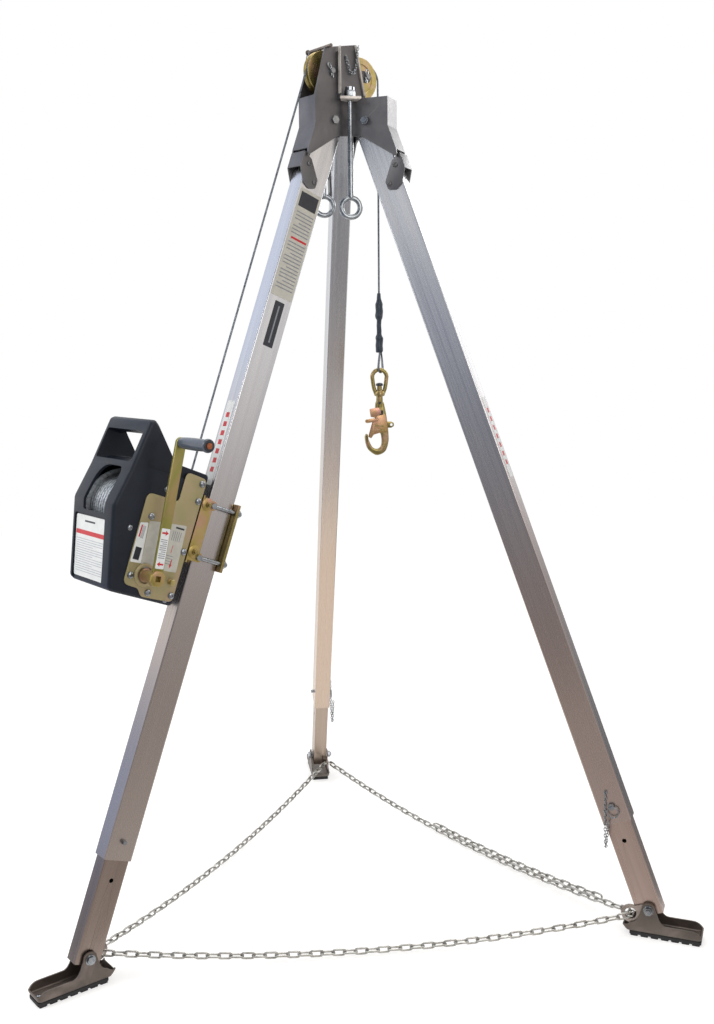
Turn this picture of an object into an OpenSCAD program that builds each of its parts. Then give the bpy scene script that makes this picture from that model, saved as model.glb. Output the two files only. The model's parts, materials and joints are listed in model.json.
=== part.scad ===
// Rescue tripod: three folding telescopic legs under a welded head, two rope sheaves in the
// head, a hand winch clamped to one leg, a swivel hook on the wire rope and a foot chain.

/* [Legs] */
// Distance of the leg pivots from the tripod's axis
pivot_r = 62; // [60:1:66]
// Lean of a standing leg from the vertical, in degrees
leg_tilt = 20.7; // [20:0.1:21.5]
// Height of the foot pivots above the floor
foot_z = 72; // [68:1:80]
// Radial depth of the upper tube
upper_depth = 70; // [68:0.5:72]
// Width of the upper tube
upper_width = 48; // [47:0.5:49]
// Wall of the upper tube
upper_wall = 3.5; // [3:0.1:3.8]
// Wall of the lower tube
lower_wall = 3; // [2.5:0.1:4]
// Sliding gap between the tubes on each side
tube_gap = 0.5; // [0.3:0.05:0.8]
// Outer corner radius of the tubes
tube_corner = 3; // [2:0.25:4]
// Reach of the upper tube above its pivot
upper_head = 25; // [20:1:28]
// Reach of the upper tube below its pivot
upper_reach = 1785; // [1700:5:1800]
// Length of lower leg that shows, from the upper tube's end to the foot bolt
lower_show = 222.6; // [180:0.1:260]
// Length of lower tube left inside when the leg is fully drawn out
tube_overlap = 210; // [150:5:260]

/* [Leg pins] */
// Diameter of a leg pin
pin_d = 10; // [8:0.5:12]
// Distance from the pin to the upper tube's lower end
pin_inset = 43; // [30:1:60]
// Spacing of the holes in the lower tube
hole_pitch = 90; // [80:1:95]
// Holes above the one in use
hole_steps = 6; // [4:1:6]
// Reach of the pin's tip past the tube
pin_tip = 9; // [6:0.5:14]
// Radius of the pin's pull ring at the middle of its wire
pin_ring_r = 13; // [10:0.5:15]
// Wire of the pull ring
pin_ring_wire = 3; // [2:0.25:4]

/* [Head] */
// Thickness of the head's plates
head_t = 5; // [4:0.25:6]
// Height of the channels' top edge above the pivots
channel_rise = 52; // [48:1:58]
// Radius of the channels' outer web
web_r = 118; // [116:0.5:122]
// Drop of the web's bend below the pivots
web_bend = 14; // [10:1:18]
// Drop of the web's lower end below the pivots
web_drop = 70; // [64:1:74]
// Drop of the cheeks' lowest corner below the pivots
cheek_drop = 88; // [80:1:90]
// Side gap between a leg and its channel
channel_gap = 4; // [3.5:0.1:5]
// Height of the sheave plates above the channels
tower_rise = 127; // [125:1:140]
// Radius of the leg pivot bolts
pivot_bolt_r = 6; // [5:0.25:7]

/* [Eye bolts] */
// Distance of the eye bolts from the axis
eye_r = 61; // [58:1:66]
// Radius of an eye bolt's shank
eye_shank = 6.35; // [5:0.05:7]
// Radius of the eye at the middle of its wire
eye_ring = 22.7; // [20:0.1:25]
// Drop of the eye's centre below the channels' top
eye_drop = 254; // [220:2:270]

/* [Sheaves and rope] */
// Diameter of the wire rope
rope_d = 4.8; // [4:0.1:5]
// Radius of a sheave at the rope's centre line
sheave_r = 45; // [43:0.5:47]
// Depth of the rope's centre line below the sheave's rim
groove_depth = 5; // [4:0.25:6]
// Thickness of a sheave
sheave_t = 20; // [16:0.5:24]
// Radius of the sheave axles
axle_r = 6; // [5:0.25:7]
// Radius from the tripod's axis to the winch side's sheave
sheave_out = 70; // [68:0.5:72]
// Radius from the tripod's axis to the drop side's sheave
sheave_in = 38; // [36:0.5:42]
// Height of the sheaves above the channels' top
sheave_rise = 58; // [56:0.5:60]
// Radius from the tripod's axis to the hanging rope, which its own curl holds off the sheave
drop_r = 100; // [92:1:110]
// Length of free rope from the drop side's sheave to the sleeve
drop_len = 509; // [450:1:560]

/* [Winch] */
// Distance of the drum's axis from the leg's centre line
drum_u = 165; // [163:0.5:168]
// Distance of the drum's axis down the leg from its pivot
drum_s = 1018; // [1000:2:1040]
// Radius of the wound rope's centre line on the drum
wind_r = 78; // [76:0.5:79]
// Turns in the drum's outer layer
wind_turns = 22; // [18:1:22]
// Spacing of the turns
wind_pitch = 5.5; // [5.3:0.05:5.6]
// Radius of the drum's flanges
flange_r = 90; // [88:0.5:91]
// Thickness of the drum's flanges
flange_t = 5; // [4:0.25:6]
// Radius of the drum's axle
drum_axle_r = 10; // [8:0.5:12]
// Outer width of the winch housing
housing_w = 198; // [194:1:202]
// Wall of the winch housing
housing_wall = 6; // [5:0.25:7]
// Lateral place of the housing's gear side from the leg's middle
gear_side = 42; // [41:0.5:44]
// Thickness of the gear cover plate
cover_t = 3; // [2:0.25:4]
// Module of the gears' teeth
gear_module = 4; // [3.8:0.05:4.05]
// Teeth on the drum gear
drum_teeth = 47; // [45:1:47]
// Teeth on the crank pinion
pinion_teeth = 20; // [18:1:21]
// Length of the crank from its shaft to its grip
crank_len = 298; // [280:2:310]
// Thickness of the crank arm
crank_t = 8; // [6:0.5:10]
// Gap from the gear cover to the crank arm
crank_standoff = 50; // [44:1:56]
// Length of the crank's grip
grip_len = 112; // [100:2:130]
// Radius of the crank's grip
grip_r = 13.5; // [12:0.25:15]

/* [Feet] */
// Height of the shoe's floor above the ground, which is the sole's thickness
sole_t = 12; // [10:0.5:14]
// Plate thickness of the shoe
shoe_t = 3.5; // [3:0.25:4]
// Reach of the sole towards the axis from the foot pivot
heel_reach = 46; // [42:1:50]
// Reach of the sole away from the axis from the foot pivot
toe_reach = 100; // [90:1:110]
// Radius of the foot bolts
foot_bolt_r = 6; // [5:0.25:7]
// Thickness of the chain ears
ear_t = 4; // [3:0.25:5]
// Distance of the ear's chain hole from the foot pivot
ear_reach = 45; // [42:0.5:48]
// Radius of the ear's chain hole
ear_hole = 14; // [13:0.25:15]

/* [Chain] */
// Wire of the chain
chain_wire = 5; // [4:0.25:5.5]
// Inner length of a chain link
link_in = 27; // [26.5:0.25:29]
// Inner width of a chain link
link_gap = 8; // [7:0.25:9]
// Links in the loose tail of the chain
tail_links = 24; // [12:1:26]
// Sag of the chain between two feet
chain_sag = 43; // [20:1:44]

/* [Hidden] */
$fn = 48;

// Legs in plan: the left leg carries the winch, and the rope drops on the side away from it
LEFT = 0;
RIGHT = 1;
REAR = 2;
leg_azimuth = [210, 330, 90];
eye_azimuth = [270, 150];

// Fits
run_gap = 0.06;
seat_gap = 0.1;
slack = 0.3;
bolt_gap = 0.15;

// Colours
aluminium = "#b9bcc0";
head_grey = "#8b8680";
zinc = "#c9cdd2";
gold_zinc = "#b39b58";
shoe_grey = "#5b5550";
rubber = "#1d1d1f";
housing_navy = "#23262f";
cover_tan = "#a3946f";
grip_grey = "#4b515c";
sleeve_black = "#18191b";
bolt_copper = "#a8623c";

// Leg lengths, measured down the leg from its pivot
foot_s = upper_reach + lower_show;
// Height of the leg pivots above the floor, which the legs' length and lean give
pivot_z = foot_z + foot_s * cos(leg_tilt);
foot_r = pivot_r + foot_s * sin(leg_tilt);
pin_s = upper_reach - pin_inset;
leg_travel = hole_steps * hole_pitch;
lower_depth = upper_depth - 2 * upper_wall - 2 * tube_gap;
lower_width = upper_width - 2 * upper_wall - 2 * tube_gap;
lower_top_s = upper_reach - leg_travel - tube_overlap;
lower_end = 15;

// Head
channel_in = upper_width / 2 + channel_gap;
channel_out = channel_in + head_t;
channel_top = pivot_z + channel_rise;
cheek_start = channel_in / tan(60) - head_t / 2;
web_end_r = web_r + (web_drop - web_bend) * tan(leg_tilt);
cheek_end_r = web_r - head_t + (cheek_drop - web_bend) * tan(leg_tilt);
tower_top = channel_top + tower_rise;
tower_slope = 31;
tower_fall = 18;
tower_back = 36;
rib_r = 48;
rib_reach = 14;
eye_tab_half = 17;

// Sheaves
sheave_z = channel_top + sheave_rise;
sheave_rim = sheave_r + groove_depth;
axle_end = 9;
ear_r = 13;
keeper_r = 4;
keeper_x = sheave_out + 8;
keeper_z = sheave_z + sheave_r + rope_d / 2 + keeper_r + 3;
keeper_end = 12;
groove_seat = slack;

// Winch, in the left leg's own frame: u outwards, v along the pivots, s down the leg
drum_near = 14;
wind_near = drum_near - flange_t - rope_d;
drum_far = wind_near - wind_turns * wind_pitch - rope_d - flange_t;
turn_steps = 24;
core_r = wind_r * cos(180 / turn_steps) - rope_d / 2 - slack;
housing_far = gear_side - housing_w;
tooth_tip = 0.8;
tooth_root = 1.15;
gear_centres = gear_module * (drum_teeth + pinion_teeth) / 2;
crank_turn = 5;
crank_u = drum_u - gear_centres * sin(crank_turn);
crank_s = drum_s + gear_centres * cos(crank_turn);
crank_lean = 7;
gear_near = gear_side - housing_wall - 3;
gear_far = drum_near + 3;
cover_out = gear_side + cover_t;
arm_near = cover_out + crank_standoff;
hub_r = 17;
sleeve_r = 15;
shaft_r = 9;
grip_bolt_r = 5;
grip_cap_r = grip_bolt_r + 1.5;
grip_cap = 3;

// Rope line: the straight run meets the winding and the first sheave as a common tangent
drum_pos = leg_xz(drum_u, drum_s);
run_dx = drum_pos[0] - sheave_out;
run_dz = sheave_z - drum_pos[1];
run_len0 = norm([run_dx, run_dz]);
run_turn = atan2(run_dx, run_dz) - asin((sheave_r + wind_r) / run_len0);

// Foot
ear_v = lower_width / 2 + slack;
shoe_in = ear_v + ear_t + slack;
shoe_out = shoe_in + shoe_t;
toe_tip = 28;
toe_lift = 34;
heel_tip = 13;
wall_rise = 20;
shoe_ear_r = 22;
cleats = 6;
cleat_depth = 4;

// Hook line, measured in height
sleeve_top = sheave_z - drop_len;

// The frame's origin stands under the middle of the part's own box
grip_reach = arm_near + crank_t + slack + grip_len + grip_cap;
toe_front_y = leg_xy(LEFT, foot_r + toe_reach + toe_tip, shoe_out)[1];
grip_pos = leg_xz(crank_u + crank_len * sin(crank_lean), crank_s - crank_len * cos(crank_lean));
grip_front_y = leg_xy(LEFT, grip_pos[0], grip_reach)[1] + grip_cap_r * sin(leg_azimuth[LEFT]);
origin_y = (foot_r + toe_reach + toe_tip + min(toe_front_y, grip_front_y)) / 2;

// Radius and height of a point in a leg's frame
function leg_xz(u, s) = [
  pivot_r + s * sin(leg_tilt) + u * cos(leg_tilt),
  pivot_z - s * cos(leg_tilt) + u * sin(leg_tilt)
];
// Plan position of a radius and a side offset on a leg's bearing
function leg_xy(leg, r, v) = [
  r * cos(leg_azimuth[leg]) - v * sin(leg_azimuth[leg]),
  r * sin(leg_azimuth[leg]) + v * cos(leg_azimuth[leg])
];

// Places its children on a bearing about the tripod's axis: x radius, y along the pivots, z height
module bearing(azimuth) translate([0, -origin_y, 0]) rotate([0, 0, azimuth]) children();
// Places its children in a leg's frame: x outwards, y along the pivots, z up the leg
module leg_frame(leg) bearing(leg_azimuth[leg]) translate([pivot_r, 0, pivot_z]) rotate([0, -leg_tilt, 0])
  children();
// Places its children at a foot pivot, level with the floor
module foot_frame(leg) bearing(leg_azimuth[leg]) translate([foot_r, 0, foot_z]) children();
// A flat outline in x and z, as thick as from y0 to y1
module slab(y0, y1) translate([0, y1, 0]) rotate([90, 0, 0]) linear_extrude(y1 - y0) children();
// A rod along y
module rod_y(r, y0, y1, sides = 0) translate([0, y0, 0]) rotate([-90, 0, 0])
  cylinder(r = r, h = y1 - y0, $fn = sides == 0 ? $fn : sides);
// A rod along x
module rod_x(r, x0, x1) translate([x0, 0, 0]) rotate([0, 90, 0]) cylinder(r = r, h = x1 - x0);
// A rod along z
module cylinder_z(r, z0, z1) translate([0, 0, z0]) cylinder(r = r, h = z1 - z0);
// A round bar between two points in the xz plane
module bar_xz(a, b, r) translate([a[0], 0, a[1]]) rotate([0, atan2(b[0] - a[0], b[1] - a[1]), 0])
  cylinder(r = r, h = norm(b - a));
// A rectangle with round corners, centred
module round_rect(w, h, r) {
  square([w - 2 * r, h], center = true);
  square([w, h - 2 * r], center = true);
  for (x = [-1, 1], y = [-1, 1]) translate([x * (w / 2 - r), y * (h / 2 - r)]) circle(r);
}

// Tube swept along points, its rings square to the path, with side as the reference across it
function unit(a) = a / norm(a);
function path_dir(p, i) = unit(p[min(i + 1, len(p) - 1)] - p[max(i - 1, 0)]);
function across(dir, side) = unit(side - (side * dir) * dir);
function tube_points(p, r, n, side) = [
  for (i = [0 : len(p) - 1])
    let (dir = path_dir(p, i), b = across(dir, side), c = cross(b, dir))
      for (k = [0 : n - 1]) p[i] + r * (cos(360 * k / n) * c + sin(360 * k / n) * b)
];
function tube_faces(rings, n) = concat(
  [for (k = [1 : n - 2]) [0, k, k + 1]],
  [for (k = [1 : n - 2]) [(rings - 1) * n, (rings - 1) * n + k + 1, (rings - 1) * n + k]],
  [for (i = [0 : rings - 2], k = [0 : n - 1]) [i * n + k, (i + 1) * n + k, (i + 1) * n + (k + 1) % n]],
  [for (i = [0 : rings - 2], k = [0 : n - 1]) [i * n + k, (i + 1) * n + (k + 1) % n, i * n + (k + 1) % n]]
);
module tube(p, r, n, side) polyhedron(tube_points(p, r, n, side), tube_faces(len(p), n));

// Head: three channels whose cheeks meet at the hub, sheave plates over them, and two eye tabs
cheek_outline = [
  [cheek_start, channel_top], [web_r, channel_top], [web_r, pivot_z - web_bend],
  [web_end_r, pivot_z - web_drop], [cheek_end_r, pivot_z - cheek_drop],
  [pivot_r - 10, pivot_z - 36], [cheek_start, pivot_z - 32]
];
web_outline = [
  [web_r, channel_top], [web_r, pivot_z - web_bend], [web_end_r, pivot_z - web_drop],
  [web_end_r - head_t, pivot_z - web_drop - head_t * tan(leg_tilt / 2)],
  [web_r - head_t, pivot_z - web_bend - head_t * tan(leg_tilt / 2)], [web_r - head_t, channel_top]
];
plate_outline = [
  [web_r, channel_top], [web_r - tower_slope, tower_top - tower_fall],
  [-tower_back + tower_slope, tower_top],
  [-tower_back, channel_top], [-tower_back, channel_top - head_t], [web_r - head_t, channel_top - head_t]
];

module cheek() difference() {
  polygon(cheek_outline);
  translate([pivot_r, pivot_z]) circle(pivot_bolt_r + seat_gap);
}
module tower_plate() difference() {
  union() {
    polygon(plate_outline);
    translate([-sheave_in, sheave_z]) circle(ear_r);
    translate([-sheave_in, sheave_z - ear_r]) square([sheave_in, 2 * ear_r]);
  }
  for (r = [sheave_out, -sheave_in]) translate([r, sheave_z]) circle(axle_r + seat_gap);
  translate([keeper_x, keeper_z]) circle(keeper_r + seat_gap);
}
module head_frame() color(head_grey) {
  for (leg = [LEFT : REAR]) bearing(leg_azimuth[leg]) {
    for (side = [0, 1]) mirror([0, side, 0]) slab(channel_in, channel_out) cheek();
    slab(-channel_out, channel_out) polygon(web_outline);
  }
  bearing(leg_azimuth[LEFT]) for (side = [0, 1]) mirror([0, side, 0]) {
    slab(channel_in, channel_out) tower_plate();
    translate([rib_r, 0, channel_top - head_t])
      slab(channel_out - 1, channel_out + rib_reach) square([head_t, tower_rise - tower_fall]);
  }
  for (azimuth = eye_azimuth) bearing(azimuth) translate([0, 0, channel_top - head_t]) difference() {
    union() {
      translate([channel_out, -eye_tab_half, 0]) cube([eye_r - channel_out, 2 * eye_tab_half, head_t]);
      translate([eye_r, 0, 0]) cylinder(r = eye_tab_half, h = head_t);
    }
    translate([eye_r, 0, -1]) cylinder(r = eye_shank + seat_gap, h = head_t + 2);
  }
}

eye_z = channel_top - eye_drop;
eye_nut_h = 11;
eye_nut_r = 11;
eye_thread = 26;
module eye_bolts() color(zinc) for (azimuth = eye_azimuth) bearing(azimuth) translate([eye_r, 0, 0]) {
  translate([0, 0, eye_z + eye_ring])
    cylinder(r = eye_shank, h = channel_top + eye_thread - eye_z - eye_ring);
  translate([0, 0, eye_z]) rotate([0, 90, 0]) rotate_extrude() translate([eye_ring, 0]) circle(eye_shank);
}

module eye_nuts() color(zinc) for (azimuth = eye_azimuth) bearing(azimuth)
  translate([eye_r, 0, channel_top]) difference() {
    cylinder(r = eye_nut_r, h = eye_nut_h, $fn = 6);
    translate([0, 0, -1]) cylinder(r = eye_shank + seat_gap, h = eye_nut_h + 2);
  }

bolt_head_h = 7;
bolt_head_r = 10;
nut_h = 9;
thread_end = 4;
module pivot_bolts() color(zinc) for (leg = [LEFT : REAR])
  bearing(leg_azimuth[leg]) translate([pivot_r, 0, pivot_z]) {
    rod_y(pivot_bolt_r, -channel_out - nut_h - thread_end, channel_out + 1);
    rod_y(bolt_head_r, channel_out, channel_out + bolt_head_h, 6);
  }

module pivot_nuts() color(zinc) for (leg = [LEFT : REAR])
  bearing(leg_azimuth[leg]) translate([pivot_r, 0, pivot_z]) difference() {
    rod_y(bolt_head_r, -channel_out - nut_h, -channel_out, 6);
    rod_y(pivot_bolt_r + seat_gap, -channel_out - nut_h - 1, -channel_out + 1);
  }

module at_sheaves() bearing(leg_azimuth[LEFT]) for (r = [sheave_out, -sheave_in])
  translate([r, 0, sheave_z]) children();

axle_head_r = 9;
axle_head_h = 4;
module sheave_axles() color(zinc) at_sheaves() {
  rod_y(axle_r, -channel_out - axle_head_h, channel_out + axle_end);
  rod_y(axle_head_r, -channel_out - axle_head_h, -channel_out);
}

spacer_r = 10;
module sheave_spacers() color(zinc) at_sheaves() for (side = [0, 1]) mirror([0, side, 0]) difference() {
  rod_y(spacer_r, sheave_t / 2 + slack, channel_in - slack);
  rod_y(axle_r + seat_gap, 0, channel_in + 1);
}

module keeper_pin() color(zinc) bearing(leg_azimuth[LEFT]) translate([keeper_x, 0, keeper_z]) {
  rod_y(keeper_r, -channel_out - keeper_end, channel_out + keeper_end);
  rod_y(keeper_r + 2.5, -channel_out - keeper_end - 3, -channel_out - keeper_end);
}

// A sheave: a grooved disc turned about y, with its bore
module sheave() rotate([90, 0, 0]) rotate_extrude($fn = 72) difference() {
  translate([axle_r + run_gap, -sheave_t / 2]) square([sheave_rim - axle_r - run_gap, sheave_t]);
  translate([sheave_r - groove_seat - rope_d / 2, 0]) polygon([
    [0, -rope_d / 2 - slack], [0, rope_d / 2 + slack],
    [groove_depth + rope_d, rope_d / 2 + 5], [groove_depth + rope_d, -rope_d / 2 - 5]
  ]);
  for (side = [-1, 1]) translate([sheave_r * 0.55, side * sheave_t / 2])
    square([sheave_r * 0.45, sheave_t * 0.3], center = true);
}

module head_sheave(out) color(gold_zinc) bearing(leg_azimuth[LEFT]) translate([out, 0, sheave_z]) sheave();
module sheave_left() head_sheave(sheave_out);
module sheave_right() head_sheave(-sheave_in);

// Rope over the sheaves: up round the outer one, across, and down past the inner one in its own curl
arc_steps = 12;
over_path = concat(
  [for (i = [0 : arc_steps]) let (a = run_turn + (90 - run_turn) * i / arc_steps)
    [sheave_out + sheave_r * cos(a), 0, sheave_z + sheave_r * sin(a)]],
  [for (i = [0 : arc_steps]) let (a = 90 + 90 * i / arc_steps)
    [-sheave_in + (drop_r - sheave_in) * cos(a), 0, sheave_z + sheave_r * sin(a)]]
);
rope_sides = 10;
module rope_over_sheaves() color(zinc) bearing(leg_azimuth[LEFT])
  tube(over_path, rope_d / 2, rope_sides, [0, 1, 0]);

// Legs
module leg_tube(depth, width, wall, corner, low, high) translate([0, 0, low]) linear_extrude(high - low)
  difference() {
    round_rect(depth, width, corner);
    round_rect(depth - 2 * wall, width - 2 * wall, max(corner - wall, 0.5));
  }

module upper_leg(leg) color(aluminium) leg_frame(leg) difference() {
  leg_tube(upper_depth, upper_width, upper_wall, tube_corner, -upper_reach, upper_head);
  rod_y(pivot_bolt_r + run_gap, -upper_width, upper_width);
  translate([0, 0, -pin_s]) rod_y(pin_d / 2 + bolt_gap, -upper_width, upper_width);
}

module lower_leg(leg) color(aluminium) leg_frame(leg) difference() {
  leg_tube(lower_depth, lower_width, lower_wall, tube_corner - 1, -foot_s - lower_end, -lower_top_s);
  translate([0, 0, -foot_s]) rod_y(foot_bolt_r + seat_gap, -upper_width, upper_width);
  for (i = [-1 : hole_steps]) translate([0, 0, -pin_s + i * hole_pitch])
    rod_y(pin_d / 2 + bolt_gap, -upper_width, upper_width);
}

// Lock bracket: a hook plate round the leg's outer side, riveted to both of its faces
lock_stand = 12;
lock_out = upper_depth / 2 + lock_stand;
lock_s = (web_drop + head_t + 3 + lock_out * sin(leg_tilt)) / cos(leg_tilt);
lock_h = 50;
lock_t = 2.6;
lock_tail = 96;
rivet_r = 5;
rivet_h = 1.2;
lock_outline = [
  [lock_out, -lock_s], [lock_out, -lock_s - lock_h], [upper_depth / 2 - 8, -lock_s - lock_h - 4],
  [8, -lock_s - lock_tail], [-8, -lock_s - lock_tail + 6], [-8, -lock_s - lock_h], [14, -lock_s - 6]
];
lock_rivets = [[12, -lock_s - lock_h + 18], [2, -lock_s - lock_tail + 15]];
module lock_bracket(leg) color(head_grey) leg_frame(leg) {
  slab(-upper_width / 2 - lock_t, upper_width / 2 + lock_t)
    translate([lock_out - lock_t, -lock_s - lock_h]) square([lock_t, lock_h]);
  for (side = [0, 1]) mirror([0, side, 0]) {
    slab(upper_width / 2, upper_width / 2 + lock_t) polygon(lock_outline);
    for (at = lock_rivets) translate([at[0], 0, at[1]])
      rod_y(rivet_r, upper_width / 2 + lock_t - rivet_h, upper_width / 2 + lock_t + rivet_h);
  }
}

// Leg pin: pulled out on the ring's side
pin_head_r = 8;
pin_head_h = 7;
module leg_pin(leg) color(zinc) leg_frame(leg) translate([0, 0, -pin_s]) {
  rod_y(pin_d / 2, -upper_width / 2 - pin_head_h, upper_width / 2 + pin_tip);
  rod_y(pin_head_r, -upper_width / 2 - pin_head_h, -upper_width / 2 - slack);
  translate([0, -upper_width / 2 - pin_head_h - pin_ring_wire / 2 + 0.5, -pin_ring_r]) rotate([90, 0, 0])
    rotate_extrude() translate([pin_ring_r, 0]) circle(pin_ring_wire / 2, $fn = 24);
}

// Foot: bolt with its nut and spacer, chain ear, shoe and rubber sole
module foot_bolt(leg) color(zinc) foot_frame(leg) {
  rod_y(foot_bolt_r, -shoe_out - nut_h - thread_end, shoe_out + 1);
  rod_y(bolt_head_r, shoe_out + slack, shoe_out + slack + bolt_head_h, 6);
  rod_y(bolt_head_r, -shoe_out - slack - nut_h, -shoe_out - slack, 6);
  difference() {
    rod_y(bolt_head_r + 1, ear_v, ear_v + ear_t);
    rod_y(foot_bolt_r - 0.5, 0, shoe_out);
  }
}

ear_lap = 16;
ear_rim = 9;
module chain_ear(leg) color(shoe_grey) leg_frame(leg) translate([0, 0, -foot_s]) difference() {
  union() {
    rod_y(ear_lap, -ear_v - ear_t, -ear_v);
    translate([-ear_reach, 0, 0]) rod_y(ear_hole + ear_rim, -ear_v - ear_t, -ear_v);
    slab(-ear_v - ear_t, -ear_v) translate([-ear_reach, -ear_lap]) square([ear_reach, 2 * ear_lap]);
  }
  rod_y(foot_bolt_r + seat_gap, -shoe_out, 0);
  translate([-ear_reach, 0, 0]) rod_y(ear_hole, -shoe_out, 0);
}

shoe_low = sole_t - foot_z;
shoe_floor = [
  [-heel_reach - heel_tip, shoe_low + heel_tip], [-heel_reach, shoe_low], [toe_reach, shoe_low],
  [toe_reach + toe_tip * 0.7, shoe_low + toe_lift * 0.4], [toe_reach + toe_tip, shoe_low + toe_lift],
  [toe_reach + toe_tip - shoe_t, shoe_low + toe_lift],
  [toe_reach + toe_tip * 0.7 - shoe_t, shoe_low + toe_lift * 0.4 + 2],
  [toe_reach - 2, shoe_low + shoe_t], [-heel_reach + 1, shoe_low + shoe_t],
  [-heel_reach - heel_tip + shoe_t, shoe_low + heel_tip + 1]
];
shoe_wall = [
  [-heel_reach - heel_tip, shoe_low + heel_tip], [-heel_reach, shoe_low], [toe_reach, shoe_low],
  [toe_reach + toe_tip * 0.7, shoe_low + toe_lift * 0.4], [toe_reach + toe_tip, shoe_low + toe_lift],
  [toe_reach - 6, shoe_low + wall_rise], [shoe_ear_r + 22, shoe_low + wall_rise], [shoe_ear_r, 0],
  [-shoe_ear_r, 0], [-shoe_ear_r - 12, shoe_low + wall_rise], [-heel_reach, shoe_low + wall_rise]
];
module foot_shoe(leg) color(shoe_grey) foot_frame(leg) difference() {
  union() {
    slab(-shoe_out, shoe_out) polygon(shoe_floor);
    for (side = [0, 1]) mirror([0, side, 0]) {
      slab(shoe_in, shoe_out) polygon(shoe_wall);
      rod_y(shoe_ear_r, shoe_in, shoe_out);
    }
  }
  rod_y(foot_bolt_r + run_gap, -shoe_out - 1, shoe_out + 1);
}

cleat_step = (heel_reach + toe_reach) / cleats;
module foot_sole(leg) color(rubber) foot_frame(leg) difference() {
  slab(-shoe_out, shoe_out) translate([-heel_reach, -foot_z]) square([heel_reach + toe_reach, sole_t]);
  for (i = [1 : cleats - 1]) slab(-shoe_out - 1, shoe_out + 1)
    translate([-heel_reach + i * cleat_step - 4, -foot_z - 1]) square([8, cleat_depth + 1]);
}

// Chain: links turned in pairs, hung in a shallow bow between the links that pass through the ears
link_bend = (link_gap + chain_wire) / 2;
link_half = (link_in - link_gap) / 2;
link_end = link_half + link_bend;
link_play = 1.2;
link_lead = link_play + link_end;
tail_from = 4;
tail_side = 2 * link_bend + chain_wire + slack;
ear_pos = [
  for (leg = [LEFT : REAR])
    let (at = leg_xz(-ear_reach, foot_s), xy = leg_xy(leg, at[0], -ear_v - ear_t / 2))
      [xy[0], xy[1] - origin_y, at[1]]
];
// Middle of an ear link's bend, on one side of its ear
function ear_end(leg, side) = ear_pos[leg]
  + side * link_half * [-sin(leg_azimuth[leg]), cos(leg_azimuth[leg]), 0];
function bow(a, b, t) = a + (b - a) * t - [0, 0, 4 * chain_sag * t * (1 - t)];

module chain_link() for (side = [-1, 1]) {
  translate([side * link_half, 0, 0]) rotate([0, 0, side * 90 - 180])
    rotate_extrude(angle = 180, $fn = 24) translate([link_bend, 0]) circle(chain_wire / 2, $fn = 16);
  translate([-link_half, side * link_bend, 0]) rotate([0, 90, 0])
    cylinder(r = chain_wire / 2, h = 2 * link_half, $fn = 16);
}
module ear_link(leg) translate(ear_pos[leg]) rotate([0, 0, leg_azimuth[leg] + 90]) chain_link();
module chain_run(a, b, first, count, turn) {
  span = norm(b - a);
  links = 1 + ceil((span - 2 * link_lead) / (link_in - 0.3));
  lead = link_lead / span;
  step = (1 - 2 * lead) / (links - 1);
  for (i = [first : min(first + count, links) - 1]) {
    p = bow(a, b, lead + i * step);
    q = bow(a, b, lead + (i + 0.1) * step);
    translate(p) rotate([0, asin((p[2] - q[2]) / norm(q - p)), atan2(q[1] - p[1], q[0] - p[0])])
      rotate([(i + turn) % 2 == 0 ? 90 : 0, 0, 0]) chain_link();
  }
}
whole_run = 1000;
module chain_front() color(zinc) {
  ear_link(LEFT);
  chain_run(ear_end(LEFT, 1), ear_end(RIGHT, -1), 0, whole_run, 0);
}
module chain_left() color(zinc) {
  ear_link(REAR);
  chain_run(ear_end(LEFT, -1), ear_end(REAR, 1), 0, whole_run, 0);
}
module chain_right() color(zinc) {
  ear_link(RIGHT);
  chain_run(ear_end(RIGHT, 1), ear_end(REAR, -1), 0, whole_run, 0);
}
module chain_tail() color(zinc) {
  along = unit(ear_end(REAR, -1) - ear_end(RIGHT, 1));
  translate(tail_side * [along[1], -along[0], 0])
    chain_run(ear_end(RIGHT, 1), ear_end(REAR, -1), tail_from, tail_links, 0);
}

// Winch housing: a closed shell round the drum with a carry handle over it and a front window
inner_gap = 4;
back_gap = 2;
pinion_tip = gear_module * (pinion_teeth / 2 + tooth_tip);
drum_tip = max(gear_module * (drum_teeth / 2 + tooth_tip), flange_r);
housing_front = drum_u + drum_tip + inner_gap + housing_wall;
housing_back = drum_u - drum_tip - back_gap - housing_wall;
housing_low = crank_s + pinion_tip + inner_gap + housing_wall;
roof_s = drum_s - drum_tip - inner_gap;
handle_top = roof_s - 98;
handle_gap = 28;
handle_wall = 14;
window_v = [housing_far + 54, gear_side - 40];
window_s = [drum_s - 80, drum_s + 28];
slot_half = 8;
function at_us(u, s) = [u, -s];
housing_outline = [
  at_us(housing_back, roof_s - 19), at_us(drum_u - 15, roof_s - 21), at_us(drum_u + 57, handle_top + 6),
  at_us(drum_u + 71, handle_top), at_us(drum_u + 76, handle_top + 8), at_us(housing_front - 16, drum_s - 78),
  at_us(housing_front, drum_s + 4), at_us(drum_u + 61, housing_low - 5), at_us(drum_u + 52, housing_low),
  at_us(housing_back, housing_low)
];
cavity_outline = [
  at_us(housing_back + housing_wall, roof_s), at_us(housing_front - housing_wall - 19, roof_s),
  at_us(housing_front - housing_wall, drum_s + 4), at_us(drum_u + 54, housing_low - housing_wall),
  at_us(housing_back + housing_wall, housing_low - housing_wall)
];
gap_outline = [
  at_us(drum_u - 61, roof_s - housing_wall), at_us(drum_u - 61, handle_top - 10),
  at_us(drum_u + 40, handle_top - 10), at_us(drum_u + 46, handle_top + handle_gap),
  at_us(housing_front + 10, handle_top + handle_gap), at_us(housing_front + 10, roof_s - housing_wall)
];
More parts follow.
